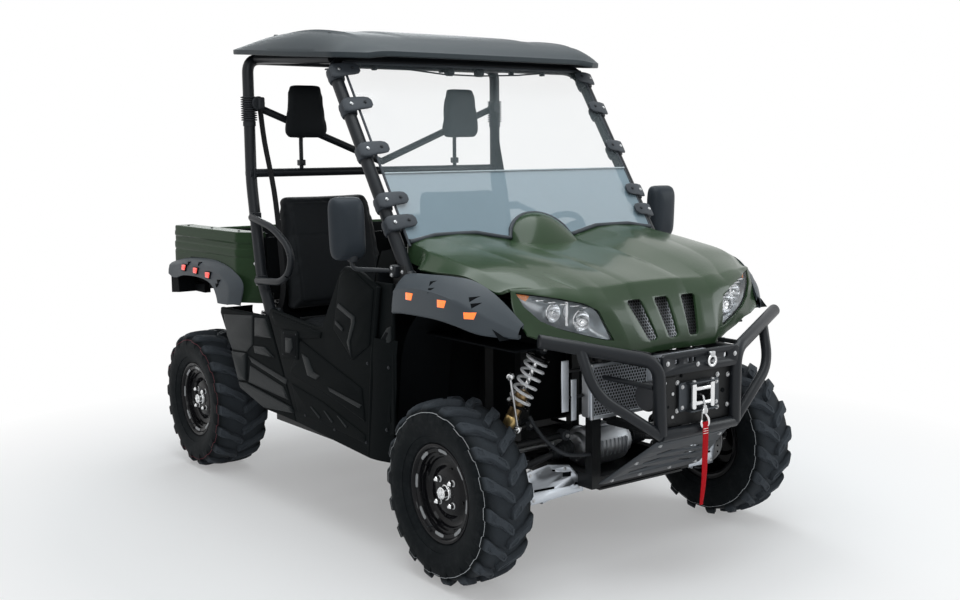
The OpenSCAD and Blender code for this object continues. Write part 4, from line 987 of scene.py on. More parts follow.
def addGuard():
    f = Form()
    f.both(guardSide)
    f.rod((-178, -1346, 528), (178, -1346, 528), 20, "tube", 24)
    plate = [(-180, 735), (180, 735), (184, 790), (172, 798), (-172, 798), (-184, 790)]
    f.prism(plate, "y", -1344, -1358, "tube", cut=2)
    f.prism([(-180, 728), (180, 728), (180, 738), (-180, 738)], "y", -1312, -1358, "tube")
    o = f.make("guardTubes", "chassis", "bumper_guard", "black_tube", bevel=1.0)
    c = Form()
    for x in (-118, 118): c.turned([(-1400, 12), (-1300, 12)], (x, 0, 768), (0, 1, 0), "tube", 24, caps=True)
    for x in (-60, -36): c.prism([(x - 9, 760), (x + 9, 760), (x + 9, 778), (x - 9, 778)], "y", -1400, -1300, "tube")
    cutBy(o, c.make("plateCutter", "chassis"))
    p = Form()
    p.prism([(-178, 548), (178, 548), (178, 732), (-178, 732)], "y", -1331, -1337, "framePaint", cut=1.5)
    p.prism([(-172, 560), (-104, 560), (-104, 718), (-172, 718)], "y", -1337, -1340, "framePaint", cut=1)
    for x, z in ((-156, 582), (-120, 582), (-156, 640), (-120, 660), (-156, 700), (-96, 694), (-96, 600), (150, 590), (150, 694), (98, 588),
            (98, 700)): p.bolt((x, -1338, z), (0, -1, 0), 6.5)
    for x, z in ((-162, 768), (162, 768), (-20, 752), (52, 752)): p.bolt((x, -1358, z), (0, -1, 0), 6)
    for x, z, r in ((-140, 618, 7), (126, 642, 8), (-78, 716, 6)): p.turned([(0, r), (2.5, r), (3.4, r * 0.6)], (x, -1337, z), (0, -1, 0), "liner",
            20, caps=True)
    ring = [Vector((40 + 17 * math.sin(a), -1370, 758 + 17 * math.cos(a))) for a in (2 * math.pi * k / 28 for k in range(29))]
    p.tube([q + Vector((0, 4, 0)) for q in ring], 5.2, "chrome", 12)
    p.box((28, -1372, 772), (52, -1358, 790), "steel", 3)
    p.make("guardPlate", "chassis", slot="black_tube", bevel=0.5)
    print("guard is on")


def addWinch():
    f = Form()
    f.prism([(-92, 596), (92, 596), (96, 604), (96, 686), (88, 694), (-88, 694), (-96, 686), (-96, 604)], "y", -1338, -1349, "darkPlate", cut=2)
    # dark sheet over the fairlead opening: painted shade
    f.prism([(-48, 622), (48, 622), (48, 670), (-48, 670)], "y", -1349, -1350.2, "liner")
    for x in (-44, 44):
        f.turned([(600, 5), (604, 9), (608, 9.6), (682, 9.6), (686, 9), (690, 5)], (x, -1364, 0), (0, 0, 1), "chrome", 28, caps=True)
        f.turned([(592, 5), (594, 8), (597, 8)], (x, -1364, 0), (0, 0, 1), "steel", 12, caps=True)
        f.turned([(693, 8), (699, 8), (701, 5)], (x, -1364, 0), (0, 0, 1), "steel", 6, caps=True)
    for z in (620, 670): f.turned([(-50, 6), (-46, 8), (46, 8), (50, 6)], (0, -1362, z), (1, 0, 0), "chrome", 24, caps=True)
    for z in (594, 690): f.box((-66, -1374, z), (66, -1346, z + 5), "darkPlate", 1.5)
    for x in (-82, 82):
        for z in (610, 680): f.bolt((x, -1349, z), (0, -1, 0), 5.5)
    f.turned([(-160, 44), (-156, 48), (-66, 48), (-62, 30), (62, 30), (66, 48), (156, 48), (160, 44)], (0, -1250, 640), (1, 0, 0), "iron", 36,
        caps=True)
    for k in range(13): f.turned([(-58 + 9 * k, 31), (-53.5 + 9 * k, 35.5), (-49 + 9 * k, 31)], (0, -1250, 640), (1, 0, 0), "steel", 28)
    for k in range(6): f.turned([(-150 + 14 * k, 48), (-149 + 14 * k, 51), (-144 + 14 * k, 51), (-143 + 14 * k, 48)], (0, -1250, 640), (1, 0, 0),
            "iron", 36)
    f.tube([(0, -1290, 660), (0, -1340, 650), (0, -1364, 642), (0, -1371, 625), (0, -1373, 606)], 4, "steel", 12)  # rope to the hook
    f.turned([(0, 7), (18, 8.5), (26, 8.5), (30, 6)], (0, -1373, 612), (0, 0, -1), "steel", 18, caps=True)
    f.prism([(-11, 584), (11, 584), (13, 596), (8, 604), (-8, 604), (-13, 596)], "y", -1366, -1378, "chrome", cut=2)
    hook = curveAlong([(0, -1372, 590), (7, -1372, 578), (17, -1372, 564), (17, -1372, 548), (5, -1372, 537), (-10, -1372, 541), (-16, -1372, 553),
        (-13, -1372, 562)], 6)
    f.tube(hook, [8 - 3.5 * abs(i / (len(hook) - 1) - 0.45) * 1.6 for i in range(len(hook))], "chrome", 14, flat=0.8)
    f.loft([[(x, -1372 + a, z) for x, z, a in q] for q in (((-14, 590, -2), (-10, 592, -2), (-10, 592, 2), (-14, 590, 2)),
        ((-15, 556, -2), (-12, 556, -2), (-12, 556, 2), (-15, 556, 2)))], "steel")
    f.make("winchParts", "chassis", "winch", "steel", bevel=0.5)
    print("winch is on")


def addStrap():  # short tail of webbing, hanging from the hook
    f = Form()
    path = [(0, -1377, 556), (0.5, -1378, 540), (1, -1378, 510), (1, -1377.6, 470), (0, -1377.2, 430), (-1, -1377.4, 390), (-4, -1377.6, 350),
        (-8, -1377.4, 315), (-12, -1377.5, 290), (-14, -1377.5, 272)]
    pts = curveAlong(path, 4)
    rings = []
    for i, p in enumerate(pts):
        t = i / (len(pts) - 1)
        half = 13.2 - (5.0 * max(0, t - 0.45) / 0.55)
        turn = 0.10 * math.sin(5 * t) + 0.85 * max(0, t - 0.5)
        u, v = Vector((math.cos(turn), math.sin(turn) * 0.12, 0)), Vector((-math.sin(turn) * 0.12, math.cos(turn), 0))
        rings.append([p + u * half * a + v * 1.5 * b for a, b in ((-1, -0.6), (-0.9, -1), (0, -1), (0.9, -1), (1, -0.6), (1, 0.6), (0.9, 1), (0, 1),
            (-0.9, 1), (-1, 0.6))])
    f.loft(rings, "redWeb")
    for z in (532, 524, 516): f.box((-11, -1379.7, z), (12, -1378.9, z + 1.6), "stitch")
    f.make("hookStrap", "chassis", "hook_strap", "red_web", smooth=50)


def frontBits(f):
    f.prism([(368, 595), (398, 595), (398, 769), (368, 769)], "y", -1100, -1105, "plate", cut=1.2)  # bright strips beside the screen
    f.prism([(330, 560), (352, 560), (352, 700), (330, 700)], "y", -1096, -1101, "plate", cut=1)
    f.rod((362, -1094, 640), (236, -1094, 640), 6, "framePaint", 12)
    f.rod((362, -1094, 730), (236, -1094, 730), 6, "framePaint", 12)
    f.tube(curveAlong([(420, -960, 560), (410, -985, 520), (380, -1015, 470), (330, -1050, 430), (240, -1070, 420)], 5), 7, "rubber", 12)
    f.tube(rounded([(240, -1080, 770), (250, -1170, 770), (300, -1180, 770)], 20), 8, "framePaint", 12)


def addRadiator():
    f = Form()
    f.grid([[(x, -1136, z) for x in (-290, -145, 0, 145, 290)] for z in (740, 680, 620, 572)], "radiatorNet")
    for x0, x1 in ((-300, -286), (286, 300), (-40, -14)): f.box((x0, -1140, 560), (x1, -1128, 752), "plate", 2)
    for z0, z1 in ((560, 574), (738, 752)): f.box((-300, -1139.5, z0), (300, -1128, z1), "plate", 2)
    f.box((-296, -1127, 564), (296, -1085, 748), "alloy", 4)
    for k in range(29): f.box((-290 + 20 * k, -1129, 572), (-288 + 20 * k, -1127, 740), "alloy")
    for x, z in ((-293, 566), (293, 566), (-293, 746), (293, 746), (-27, 566), (-27, 746)): f.bolt((x, -1140, z), (0, -1, 0), 4.5)
    f.both(frontBits)
    f.make("radiatorScreen", "chassis", "radiator", "alloy", bevel=0.4)
    print("radiator is on")


def addBashPlate():
    def at(u, v): # u across, v along from the top
        half = 170 + 80 * v
        return Vector((u * half, -1324 + 201 * v, 499 - 172 * v))
    f = Form()
    f.loft([[at(u, v) + Vector((0, dy, dz)) for u, v, dy, dz in ((-1, k / 8, 0, 0), (-0.9, k / 8, -3, -3), (0.9, k / 8, -3, -3), (1, k / 8, 0, 0),
        (1, k / 8, 3, 3), (0.9, k / 8, 0, 0), (-0.9, k / 8, 0, 0), (-1, k / 8, 3, 3))] for k in range(9)], "darkPlate")
    o = f.make("bashPlate", "chassis", "bash_plate", "cast", bevel=0.8)
    for s in (-1, 1):
        for u0, v0, u1, v1, w in ((0.24, 0.30, 0.52, 0.36, 0.035), (0.28, 0.50, 0.60, 0.56, 0.035), (0.34, 0.72, 0.66, 0.78, 0.035)):
            c = Form()
            a, b = at(s * u0, v0), at(s * u1, v1)
            n = Vector((0, -0.65, -0.76))
            side = (b - a).cross(n).normalized() * 200 * w
            q = [a - side, b - side, b + side, a + side]
            c.loft([[p + n * 30 for p in q], [p - n * 30 for p in q]], "darkPlate")
            cutBy(o, c.make("slotCutter", "chassis"))
    g = Form()
    for s in (-1, 1):
        for u, v in ((0.82, 0.08), (0.82, 0.5), (0.84, 0.92), (0.3, 0.92)): g.bolt(at(s * u, v) + Vector((0, -3, -3)), (0, -0.65, -0.76), 6)
    g.rod((-168, -1330, 505), (168, -1330, 505), 6, "darkPlate", 14)
    g.box((-205, -1082, 288), (205, -436, 296), "framePaint", 2)
    g.make("bashPlateBolts", "chassis", slot="steel", bevel=0.3)


def armGuard(f):
    rows = []
    for k in range(5):
        t = k / 8
        a, b = Vector((262, -1010, 292)).lerp(Vector((486, -945, 196)), t), Vector((262, -770, 292)).lerp(Vector((486, -790, 196)), t)
        rows.append([a + Vector((0, 0, 14)), a + Vector((0, 2, 3)), a + Vector((0, 8, 0)), a.lerp(b, 0.35), a.lerp(b, 0.65), b + Vector((0, -8, 0)),
            b + Vector((0, -2, 3)), b + Vector((0, 0, 14))])
    f.grid(rows, "plate")


def guardFace(f):
    f.prism([(472, 379), (375, 392), (280, 376), (215, 309), (214, 272), (451, 262)], "y", -1006, -1003, "plate")
    # dark backing sheet behind the slots: painted shade seen through them
    f.prism([(462, 370), (375, 382), (286, 368), (222, 309), (222, 278), (442, 270)], "y", -1000, -992, "liner")


def addArmGuards():
    f = Form().both(armGuard)
    o = f.make("armGuards", "chassis", "arm_guards", "alloy", thick=3.0, smooth=30)
    c = Form()
    for s in (-1, 1):
        for x, y0, y1, w in ((320, -985, -915, 12), (320, -880, -820, 12)):
            c.prism([(s * (x - w), y0), (s * (x + w), y0 + 8), (s * (x + w), y1), (s * (x - w), y1 - 8)], "z", 150, 330, "plate")
    cutBy(o, c.make("guardCutter", "chassis"))
    p = Form().both(guardFace).make("armGuardFaces", "chassis", slot="alloy", bevel=0.6)
    c = Form()
    for s in (-1, 1):
        for x, z, w, h in ((392, 308, 46, 6), (290, 344, 20, 10), (246, 304, 7, 6), (350, 368, 8, 5)):
            c.prism([(s * (x - w), z - h), (s * (x + w), z - h + 3), (s * (x + w), z + h), (s * (x - w), z + h - 3)], "y", -1040, -1001, "plate")
    cutBy(p, c.make("faceCutter", "chassis"))
    g = Form()
    for s in (-1, 1):
        for x, z in ((455, 366), (300, 366), (232, 290), (440, 276)): g.bolt((s * x, -1006, z), (0, -1, 0), 5)
        for x, y, z in ((285, -990, 283), (285, -790, 283)): g.bolt((s * x, y, z - 2), (s * -0.39, 0, -0.92), 6)
    g.make("armGuardBolts", "chassis", slot="steel", bevel=0.3)


def boots(f, a, b, big, small, n=6):  # ribbed rubber boot from a towards b
    a, b = Vector(a), Vector(b)
    length = (b - a).length
    prof = [(0, big)]
    for k in range(n):
        t, r = k / n, big + (small - big) * k / n
        prof += [(length * (t + 0.1 / n), r), (length * (t + 0.5 / n), r + 1), (length * (t + 0.9 / n), r * 0.84)]
    f.turned(prof + [(length, small)], a, b - a, "rubber", 28, caps=True)


def halfShaft(f):
    for y, out in ((-850, (514, 321)), (1130, (446, 323))):
        f.rod((128, y, 390), (out[0], y, out[1]), 12.5, "iron", 20)
        d = Vector((out[0] - 128, 0, out[1] - 390)).normalized()
        boots(f, Vector((150, y, 386)), Vector((150, y, 386)) + d * 82, 34, 16)
        boots(f, Vector((out[0], y, out[1])) - d * 2, Vector((out[0], y, out[1])) - d * 80, 34, 16)


def wishbone(f, inner, outer, span, y, r):
    for k in (-1, 1):
        a, b = Vector((inner[0], y + k * span, inner[1])), Vector((outer[0], y + k * 10, outer[1]))
        f.tube([a, a.lerp(b, 0.5) + Vector((0, k * 6, 2)), b], [r, r * 1.05, r], "framePaint", 18)
        f.turned([(-19, r + 4), (-17, r + 7), (17, r + 7), (19, r + 4)], a, (0, 1, 0), "rubber", 24, caps=True)
        f.turned([(-24, 7), (24, 7)], a, (0, 1, 0), "steel", 12, caps=True)
    mid = Vector((inner[0] + (outer[0] - inner[0]) * 0.55, y, inner[1] + (outer[1] - inner[1]) * 0.55))
    f.rod(mid + Vector((0, -span * 0.5, 0)), mid + Vector((0, span * 0.5, 0)), r * 0.8, "framePaint", 14)
    f.turned([(-12, 18), (-9, 22), (9, 22), (12, 18)], (outer[0], y, outer[1]), (0, 0, 1), "iron", 26, caps=True)
    f.bolt((outer[0], y, outer[1] + 12), (0, 0, 1), 8)


def shock(f, foot, top, lean=0):
    a, b = Vector(foot), Vector(top)
    d = (b - a).normalized()
    for p in (a, b):
        f.turned([(-16, 12), (-14, 16), (14, 16), (16, 12)], p, (0, 1, 0), "rubber", 24, caps=True)
        f.turned([(-22, 6), (22, 6)], p, (0, 1, 0), "steel", 12, caps=True)
    f.turned([(8, 13), (14, 19), (20, 23), (150, 23), (153, 25), (158, 25), (160, 20), (164, 12)], a, d, "bronze", 32, caps=True)
    f.turned([(30, 23.2), (34, 25), (60, 25), (64, 23.2)], a, d, "copper", 32)
    f.rod(a + d * 160, b - d * 20, 8, "chrome", 16)
    length = (b - a).length
    f.turned([(length - 46, 11), (length - 44, 15), (length - 22, 17), (length - 16, 12)], a, d, "rubber", 20, caps=True)
    f.turned([(100, 23), (101, 42), (106, 43), (108, 40), (109, 23)], a, d, "rimBlack", 32)
    f.turned([(length - 32, 12), (length - 31, 42), (length - 26, 43), (length - 22, 24), (length - 20, 10)], a, d, "rimBlack", 32)
    f.coil(a + d * 112, b - d * 36, 36.5, 5.6, 6.0, "spring")


def suspension(f):
    wishbone(f, (258, 330), (540, 317.5 - 110), 120, -850, 13)
    wishbone(f, (258, 470), (540, 317.5 + 112), 100, -850, 12)


def rearSuspension(f):
    wishbone(f, (258, 330), (470, 317.5 - 80), 120, 1130, 13)
    wishbone(f, (258, 480), (470, 317.5 + 110), 100, 1130, 12)
    f.rod((470, 1130, 237), (470, 1130, 428), 16, "iron", 24)
    f.rod((470, 1130, 317.5), (677, 1130, 317.5), 26, "iron", 30)
    f.turned([(486, 60), (490, 99), (498, 99), (502, 60)], (0, 1130, 317.5), (1, 0, 0), "steel", 48, caps=True)
    addHub(f, 625, 1130, 254, 1)


def shockPair(f):
    shock(f, (436, -848, 486), (340, -930, 780))
    shock(f, (420, 1132, 484), (345, 1080, 716))
    a, b = Vector((466, -914, 698)), Vector((456, -940, 516))  # stabiliser link with its ball ends
    f.rod(a, b, 4.2, "steel", 12)
    for p in (a, b):
        f.turned([(-9, 9), (-5, 13), (5, 13), (9, 9)], p, (1, -0.4, 0), "chrome", 20, caps=True)
        f.turned([(9, 5), (20, 5)], p, (1, -0.4, 0), "steel", 10, caps=True)


def diffCase(f):
    for y, nose in ((-850, 1), (1130, -1)):
        f.turned([(-125, 40), (-120, 52), (-96, 56), (-92, 70), (-30, 76), (30, 76), (92, 70), (96, 56), (120, 52), (125, 40)], (0, y, 380),
            (1, 0, 0), "alloy", 40, caps=True)
        f.turned([(0, 66), (70, 48), (110, 38), (114, 44), (124, 44), (128, 20)], (0, y, 380), (0, nose, 0), "alloy", 32, caps=True)
        for k in range(9): f.box((-88 + 20 * k, y - 78, 350), (-84 + 20 * k, y + 78, 410), "alloy", 1)
        for k in range(10):
            a = 2 * math.pi * k / 10
            for x in (-108, 108): f.bolt((x + math.copysign(14, x), y + 46 * math.cos(a), 380 + 46 * math.sin(a)), (math.copysign(1, x), 0, 0), 4.5)
        f.box((-30, y - 40, 452), (30, y + 40, 462), "alloy", 4)
        f.bolt((0, y, 462), (0, 0, 1), 8, "iron")


def addRunningGear():
    Form().both(suspension).make("frontWishbones", "chassis", "front_arms", "frame_paint", bevel=0.5)
    Form().both(rearSuspension).make("rearWishbones", "chassis", "rear_arms", "frame_paint", bevel=0.5)
    Form().both(shockPair).make("springDampers", "chassis", "shocks", "spring", bevel=0.4, smooth=40)
    Form().both(halfShaft).make("driveShafts", "chassis", "half_shafts", "rubber", smooth=40)
    f = Form()
    diffCase(f)
    f.make("axleCases", "chassis", "differentials", "alloy", bevel=0.6)
    print("running gear is on")


addGuard()
addWinch()
addStrap()
addRadiator()
addBashPlate()
addArmGuards()
addRunningGear()
cage = {"tubeR": 24, "pillarX": 626, "pillarTop": (-18, 1806), "pillarLow": (-548, 1010), "hoopX": 655, "hoopY": 622, "hoopTop": 1850}


def screenY(z):
    (yt, zt), (yl, zl) = cage["pillarTop"], cage["pillarLow"]
    return yl + (z - zl) * (yt - yl) / (zt - zl)


def rearSide(f):
    hx, hy = cage["hoopX"], cage["hoopY"]
    f.tube([(hx, hy, 1665), (0, hy, 1412)], 16, "tube", 16)
    f.box((hx - 34, hy - 5, 1640), (hx - 8, hy + 5, 1690), "tube", 2)
    for k in range(11): f.turned([(0, 26), (2.2, 34), (5.5, 34), (8, 26)], (hx, hy, 1592 + 9.4 * k), (0, 0, 1), "rubber", 28)  # ribbed sleeve
    f.turned([(-22, 27), (-2, 27)], (hx, hy, 1592), (0, 0, 1), "rubber", 28, caps=True)
    f.turned([(-14, 28), (14, 28)], (hx, hy, 1372), (-1, 0, 0), "tube", 24, caps=True)
    f.prism([(hy - 40, 1352), (hy - 6, 1340), (hy - 6, 1404), (hy - 40, 1392)], "x", hx - 6, hx + 2, "tube")
    f.box((hx - 30, 500, 812), (hx - 24, 560, 868), "framePaint", 2)
    f.tube([(412, hy, 1384), (412, hy, 1500), (412, hy - 12, 1700)], 9, "tube", 14)
    for z in (1400, 1520): f.box((398, hy - 16, z), (426, hy + 16, z + 26), "tube", 3)
    f.box((hx - 30, 446, 742), (hx + 30, 520, 752), "framePaint", 2)
    for y in (458, 508): f.bolt((hx + 18, y, 752), (0, 0, 1), 6)
    for z in (905, 990): f.bolt((hx + 22, 556 + (z - 905) * 0.16, z), (1, 0, 0), 5.5)


def frontSide(f):
    yl, zl = cage["pillarLow"]
    x = cage["pillarX"]
    f.prism([(yl - 46, zl - 34), (yl + 60, zl - 40), (yl + 72, zl + 42), (yl - 6, zl + 52)], "x", x + 24, x + 30, "framePaint", cut=1)
    for a, b in ((-24, -14), (34, -20), (6, 30), (48, 26)): f.bolt((x + 30, yl + a, zl + b), (1, 0, 0), 5.5)
    f.rod((x, yl - 8, zl - 12), (x, yl + 12, zl + 18), 29, "tube", 28)
    f.box((x - 22, cage["pillarTop"][0] - 10, 1770), (x + 10, cage["pillarTop"][0] + 24, 1776), "tube", 1)


def addCage():
    x, (yt, zt), (yl, zl) = cage["pillarX"], cage["pillarTop"], cage["pillarLow"]
    f = Form()
    f.tube(rounded([(x, yl, zl), (x, yt, zt), (-x, yt, zt), (-x, yl, zl)], 90, 10), cage["tubeR"], "tube", 24)
    f.both(frontSide)
    f.tube([(-430, yt - 8, 1786), (-300, yt - 40, 1780), (-120, yt - 30, 1766), (60, yt - 26, 1764), (260, yt - 36, 1772), (420, yt - 12, 1786)], 3.2,
        "rubber", 10)  # loom clipped to the top bar
    for xx in (-430, -110, 250, 420): f.box((xx - 8, yt - 14, 1774), (xx + 8, yt + 8, 1786), "rubber", 2)
    for xx in (-84, 66): f.turned([(-16, 15), (-13, 18), (13, 18), (16, 15)], (xx, yt - 22, 1778), (1, 0, 0), "rubber", 24, caps=True)
    f.make("frontCage", "chassis", "cage_front", "black_tube", bevel=0.6)
    hx, hy, ht = cage["hoopX"], cage["hoopY"], cage["hoopTop"]
    side = [(hx, 470, 764), (hx, 497, 834), (hx, 548, 907), (hx, hy, 1342), (hx, hy, ht)]
    f = Form()
    f.tube(rounded(side + [(-p[0], p[1], p[2]) for p in side[::-1]], 60, 8), cage["tubeR"], "tube", 24)
    f.tube([(-hx, hy, 1372), (hx, hy, 1372)], 18, "tube", 20)
    f.both(rearSide)
    f.make("rearCage", "chassis", "cage_rear", "black_tube", bevel=0.6)
    def rail(f):
        f.tube([(x - 30, yt + 34, zt + 12), (hx - 30, hy - 34, ht - 4)], 20, "tube", 20)
        for y, z in ((70, 1823), (540, 1845)): f.box((x - 54, y, z + 14), (x - 12, y + 40, z + 22), "tube", 2)
    Form().both(rail).make("cageRails", "chassis", "cage_rails", "black_tube", bevel=0.6)
    def bar(f):
        f.tube(rounded([(714, 514, 1192), (700, 349, 1155), (690, 225, 1079), (690, 213, 999), (700, 276, 937), (714, 478, 928)], 55, 8), 14.5,
            "tube", 20)
        for y, z in ((517, 1192), (480, 928)):
            f.box((668, y - 8, z - 18), (716, y + 14, z + 18), "tube", 3)
            f.bolt((716, y + 4, z), (1, 0, 0), 6)
    Form().both(bar).make("grabBars", "chassis", "side_bars", "black_tube", bevel=0.6)
    print("cage is on")


roofRows = [(-190, 1826, 1836, 560), (-120, 1830, 1880, 655), (0, 1838, 1922, 672), (250, 1856, 1952, 688), (520, 1878, 1946, 692),
    (680, 1890, 1920, 688), (740, 1896, 1904, 640)]


def roofPoint(row, s):  # s across, -1 to 1
    y, lip, crown, half = row
    a = abs(s)
    rise = (1 - max(0, (a - 0.78) / 0.22) ** 2.4) * (1 - 0.10 * a ** 2) if a < 1 else 0
    inner = max(0.0, min(1.0, (y + 100) / 160)) * max(0.0, min(1.0, (700 - y) / 120))
    def groove(at, wide): return max(0.0, 1 - (abs(a - at) / wide) ** 2)
    channel = 11 * inner * (groove(0.52, 0.045) + groove(0.84, 0.03)) + 5 * inner * (1 if 0.55 < a < 0.81 else 0)
    return Vector((s * half, y, lip + rise * (crown - lip) - channel))


def addRoof():
    steps = [-1, -0.985, -0.96, -0.93, -0.90, -0.87, -0.855, -0.84, -0.825, -0.81, -0.78, -0.7, -0.62, -0.575, -0.55, -0.52, -0.49, -0.465, -0.42,
        -0.3, -0.15]
    steps = steps + [0] + [-s for s in steps[::-1]]
    rows = curveThrough([[Vector((r[0], r[1], r[2])), Vector((r[3], 0, 0))] for r in roofRows], 6)
    grid = [[roofPoint((a.x, a.y, a.z, b.x), s) for s in steps] for a, b in rows]
    f = Form()
    f.grid(grid, "roof")
    edge = [r[0] for r in grid] + grid[-1][1:-1] + [r[-1] for r in grid[::-1]] + grid[0][-2:0:-1]
    mid = Vector((0, 270, 0))
    def ring(out, down): return [p + Vector(((p.x - mid.x), (p.y - mid.y), 0)).normalized() * out + Vector((0, 0, -down)) for p in edge]
    f.loft([ring(0, 0), ring(0.5, 4), ring(0, 17), ring(-3, 20), ring(-14, 20), ring(-16, 8)], "roof", caps=False)
    f.grid([[p + Vector((0, 0, -9)) for p in r[1:-1]] for r in grid[1:-1]], "roof", flip=True)
    for x in (-300, 300): f.box((x - 30, 60, 1838), (x + 30, 600, 1856), "roof", 5)
    for x in (-560, 560):
        for y in (90, 540): f.bolt((x, y, 1944 - (30 if y < 100 else 4)), (0, 0, 1), 9, "rubber")
    f.make("roofShell", "chassis", "roof", "roof_plastic", smooth=32)
    print("roof is on")


def addScreens():
    def sheet(z0, z1, half, cols, bottom=None, rows=8):
        grid = []
        for k in range(rows + 1):
            row = []
            for i in range(cols + 1):
                x = half * (2 * i / cols - 1)
                low = bottom(x) if bottom else z0
                z = low + (z1 - low) * k / rows
                bow = 16 * (1 - (x / half) ** 2)
                row.append(Vector((x, screenY(z) - 44 - bow * 0.35, z)))
            grid.append(row)
        return grid
    f = Form()
    up = sheet(1384, 1794, 598, 24)
    f.grid(up, "clear")
    f.make("upperScreen", "chassis", "windshield_upper", "clear_sheet", thick=4.5, smooth=60)
    def bottom(x):
        a = abs(x)
        arch = 100 * max(0.0, 1 - (a / 152) ** 2) ** 0.55
        hood = 1122 + 28 * max(0.0, min(1.0, (a - 150) / 150)) - 16 * max(0.0, min(1.0, (a - 480) / 100))
        return max(1118 + arch, hood + 9)
    g = Form()
    low = sheet(0, 1379, 598, 72, bottom)
    g.grid(low, "tinted")
    g.make("lowerScreen", "chassis", "windshield_lower", "tinted_sheet", thick=4.5, smooth=60)
    t = Form()
    t.tube([p + Vector((0, -2, 0)) for p in low[0]], [8.5] * len(low[0]), "clamp", 12)
    t.tube([p + Vector((0, -1, 3)) for p in low[-1]], 3.6, "clearEdge", 8)
    t.tube([p + Vector((0, 3, -2)) for p in up[0]], 2.6, "clearEdge", 8)
    for s in (-1, 1): t.tube([Vector((s * 601, screenY(z) - 41, z)) for z in range(1125, 1796, 60)], 5, "clamp", 10)
    t.tube([p + Vector((0, 1, 2)) for p in up[-1]], 5.5, "clamp", 10)
    t.make("screenTrim", "chassis", slot="rubber", smooth=50)
    print("screens are on")


def clampSet(f):
    (yt, zt), (yl, zl) = cage["pillarTop"], cage["pillarLow"]
    d = Vector((0, yt - yl, zt - zl)).normalized()
    n = Vector((0, -d.z, d.y))
    for z in (1188, 1268, 1450, 1615, 1745):
        c = Vector((cage["pillarX"], screenY(z), z))
        f.turned([(-27, 25), (-25, 30), (-12, 32.5), (0, 31.5), (12, 32.5), (25, 30), (27, 25)], c, d, "clamp", 30)
        rings = []
        for x, half, lift, thick in ((34, 22, 30, 7), (24, 29, 37, 11), (0, 31, 42, 13), (-24, 28, 49, 12), (-52, 27, 53, 10), (-70, 23, 54, 9),
                (-80, 13, 54, 7)):
            ring = []
            for k in range(16):
                a = 2 * math.pi * k / 16
                u, v = math.copysign(abs(math.cos(a)) ** 0.5, math.cos(a)), math.copysign(abs(math.sin(a)) ** 0.7, math.sin(a))
                ring.append(c + Vector((x * 1.0, 0, 0)) + d * (half * u) + n * (lift - 4 + thick * 0.5 * v))
            rings.append(ring)
        f.loft(rings, "clamp")
        f.bolt(c + Vector((-48, 0, 0)) + n * 54, n, 5, "rubber")
        f.bolt(c + Vector((6, 0, 0)) + n * 44, n, 5, "steel")


def mirrorHead(f):
    rings = []
    for y, sx, sz in ((-424, 0.30, 0.4), (-421, 0.55, 0.66), (-414, 0.80, 0.86), (-402, 0.93, 0.955), (-388, 1.0, 1.0), (-372, 1.0, 1.0),
            (-366, 0.985, 0.99), (-366, 0.94, 0.955), (-369, 0.93, 0.95)):
        ring = []
        for k in range(40):
            a = 2 * math.pi * k / 40
            u, v = (math.copysign(abs(t) ** 0.36, t) for t in (math.cos(a), math.sin(a)))
            ring.append((782 + 67 * sx * u + 4 * v, y, 1191 + 112 * sz * v))
        rings.append(ring)
    f.loft(rings[:-1], "mirrorShell", caps=False)
    f.add(rings[0], [tuple(range(40))], "mirrorShell")
    f.loft(rings[-2:], "mirrorShell", caps=False)
    f.add(rings[-1], [tuple(range(40))], "mirrorGlass")
    f.tube(rounded([(776, -396, 1092), (775, -404, 1048), (654, -500, 1040)], 20, 5), 8, "tube", 14)
    f.turned([(-4, 17), (0, 19), (16, 19), (20, 14)], (770, -396, 1078), (0, 0, 1), "rubber", 24, caps=True)
    f.box((640, -522, 1018), (676, -486, 1062), "tube", 5)
    for z in (1028, 1052): f.bolt((676, -504, z), (1, 0, 0), 5)


addCage()
addRoof()
addScreens()
Form().both(clampSet).make("screenClamps", "chassis", "windshield_clamps", "rubber", smooth=45)
Form().both(mirrorHead).make("sideMirrors", "chassis", "mirrors", "black_plastic", smooth=40)
seat = {"voxel": 0.013, "pressure": 4.0, "frames": 12, "cap": 0.016}


def swell(o, cap):  # cloth blown up a little, no gravity, then applied
    scene = bpy.context.scene
    before = [v.co.copy() for v in o.data.vertices]
    mod = o.modifiers.new("cloth", "CLOTH")
    mod.settings.use_pressure, mod.settings.uniform_pressure_force = True, seat["pressure"]
    mod.settings.effector_weights.gravity = 0
    mod.settings.quality, mod.settings.tension_stiffness, mod.settings.bending_stiffness = 5, 20, 0.8
    mod.point_cache.frame_start, mod.point_cache.frame_end = 1, seat["frames"]
    for frameNumber in range(1, seat["frames"] + 1): scene.frame_set(frameNumber)
    made = bpy.data.meshes.new_from_object(o.evaluated_get(bpy.context.evaluated_depsgraph_get()))
    o.modifiers.clear()
    for v, b in zip(made.vertices, before):
        move = v.co - b
        if move.length > cap: v.co = b + move.normalized() * cap
    o.data = made
    scene.frame_set(1)


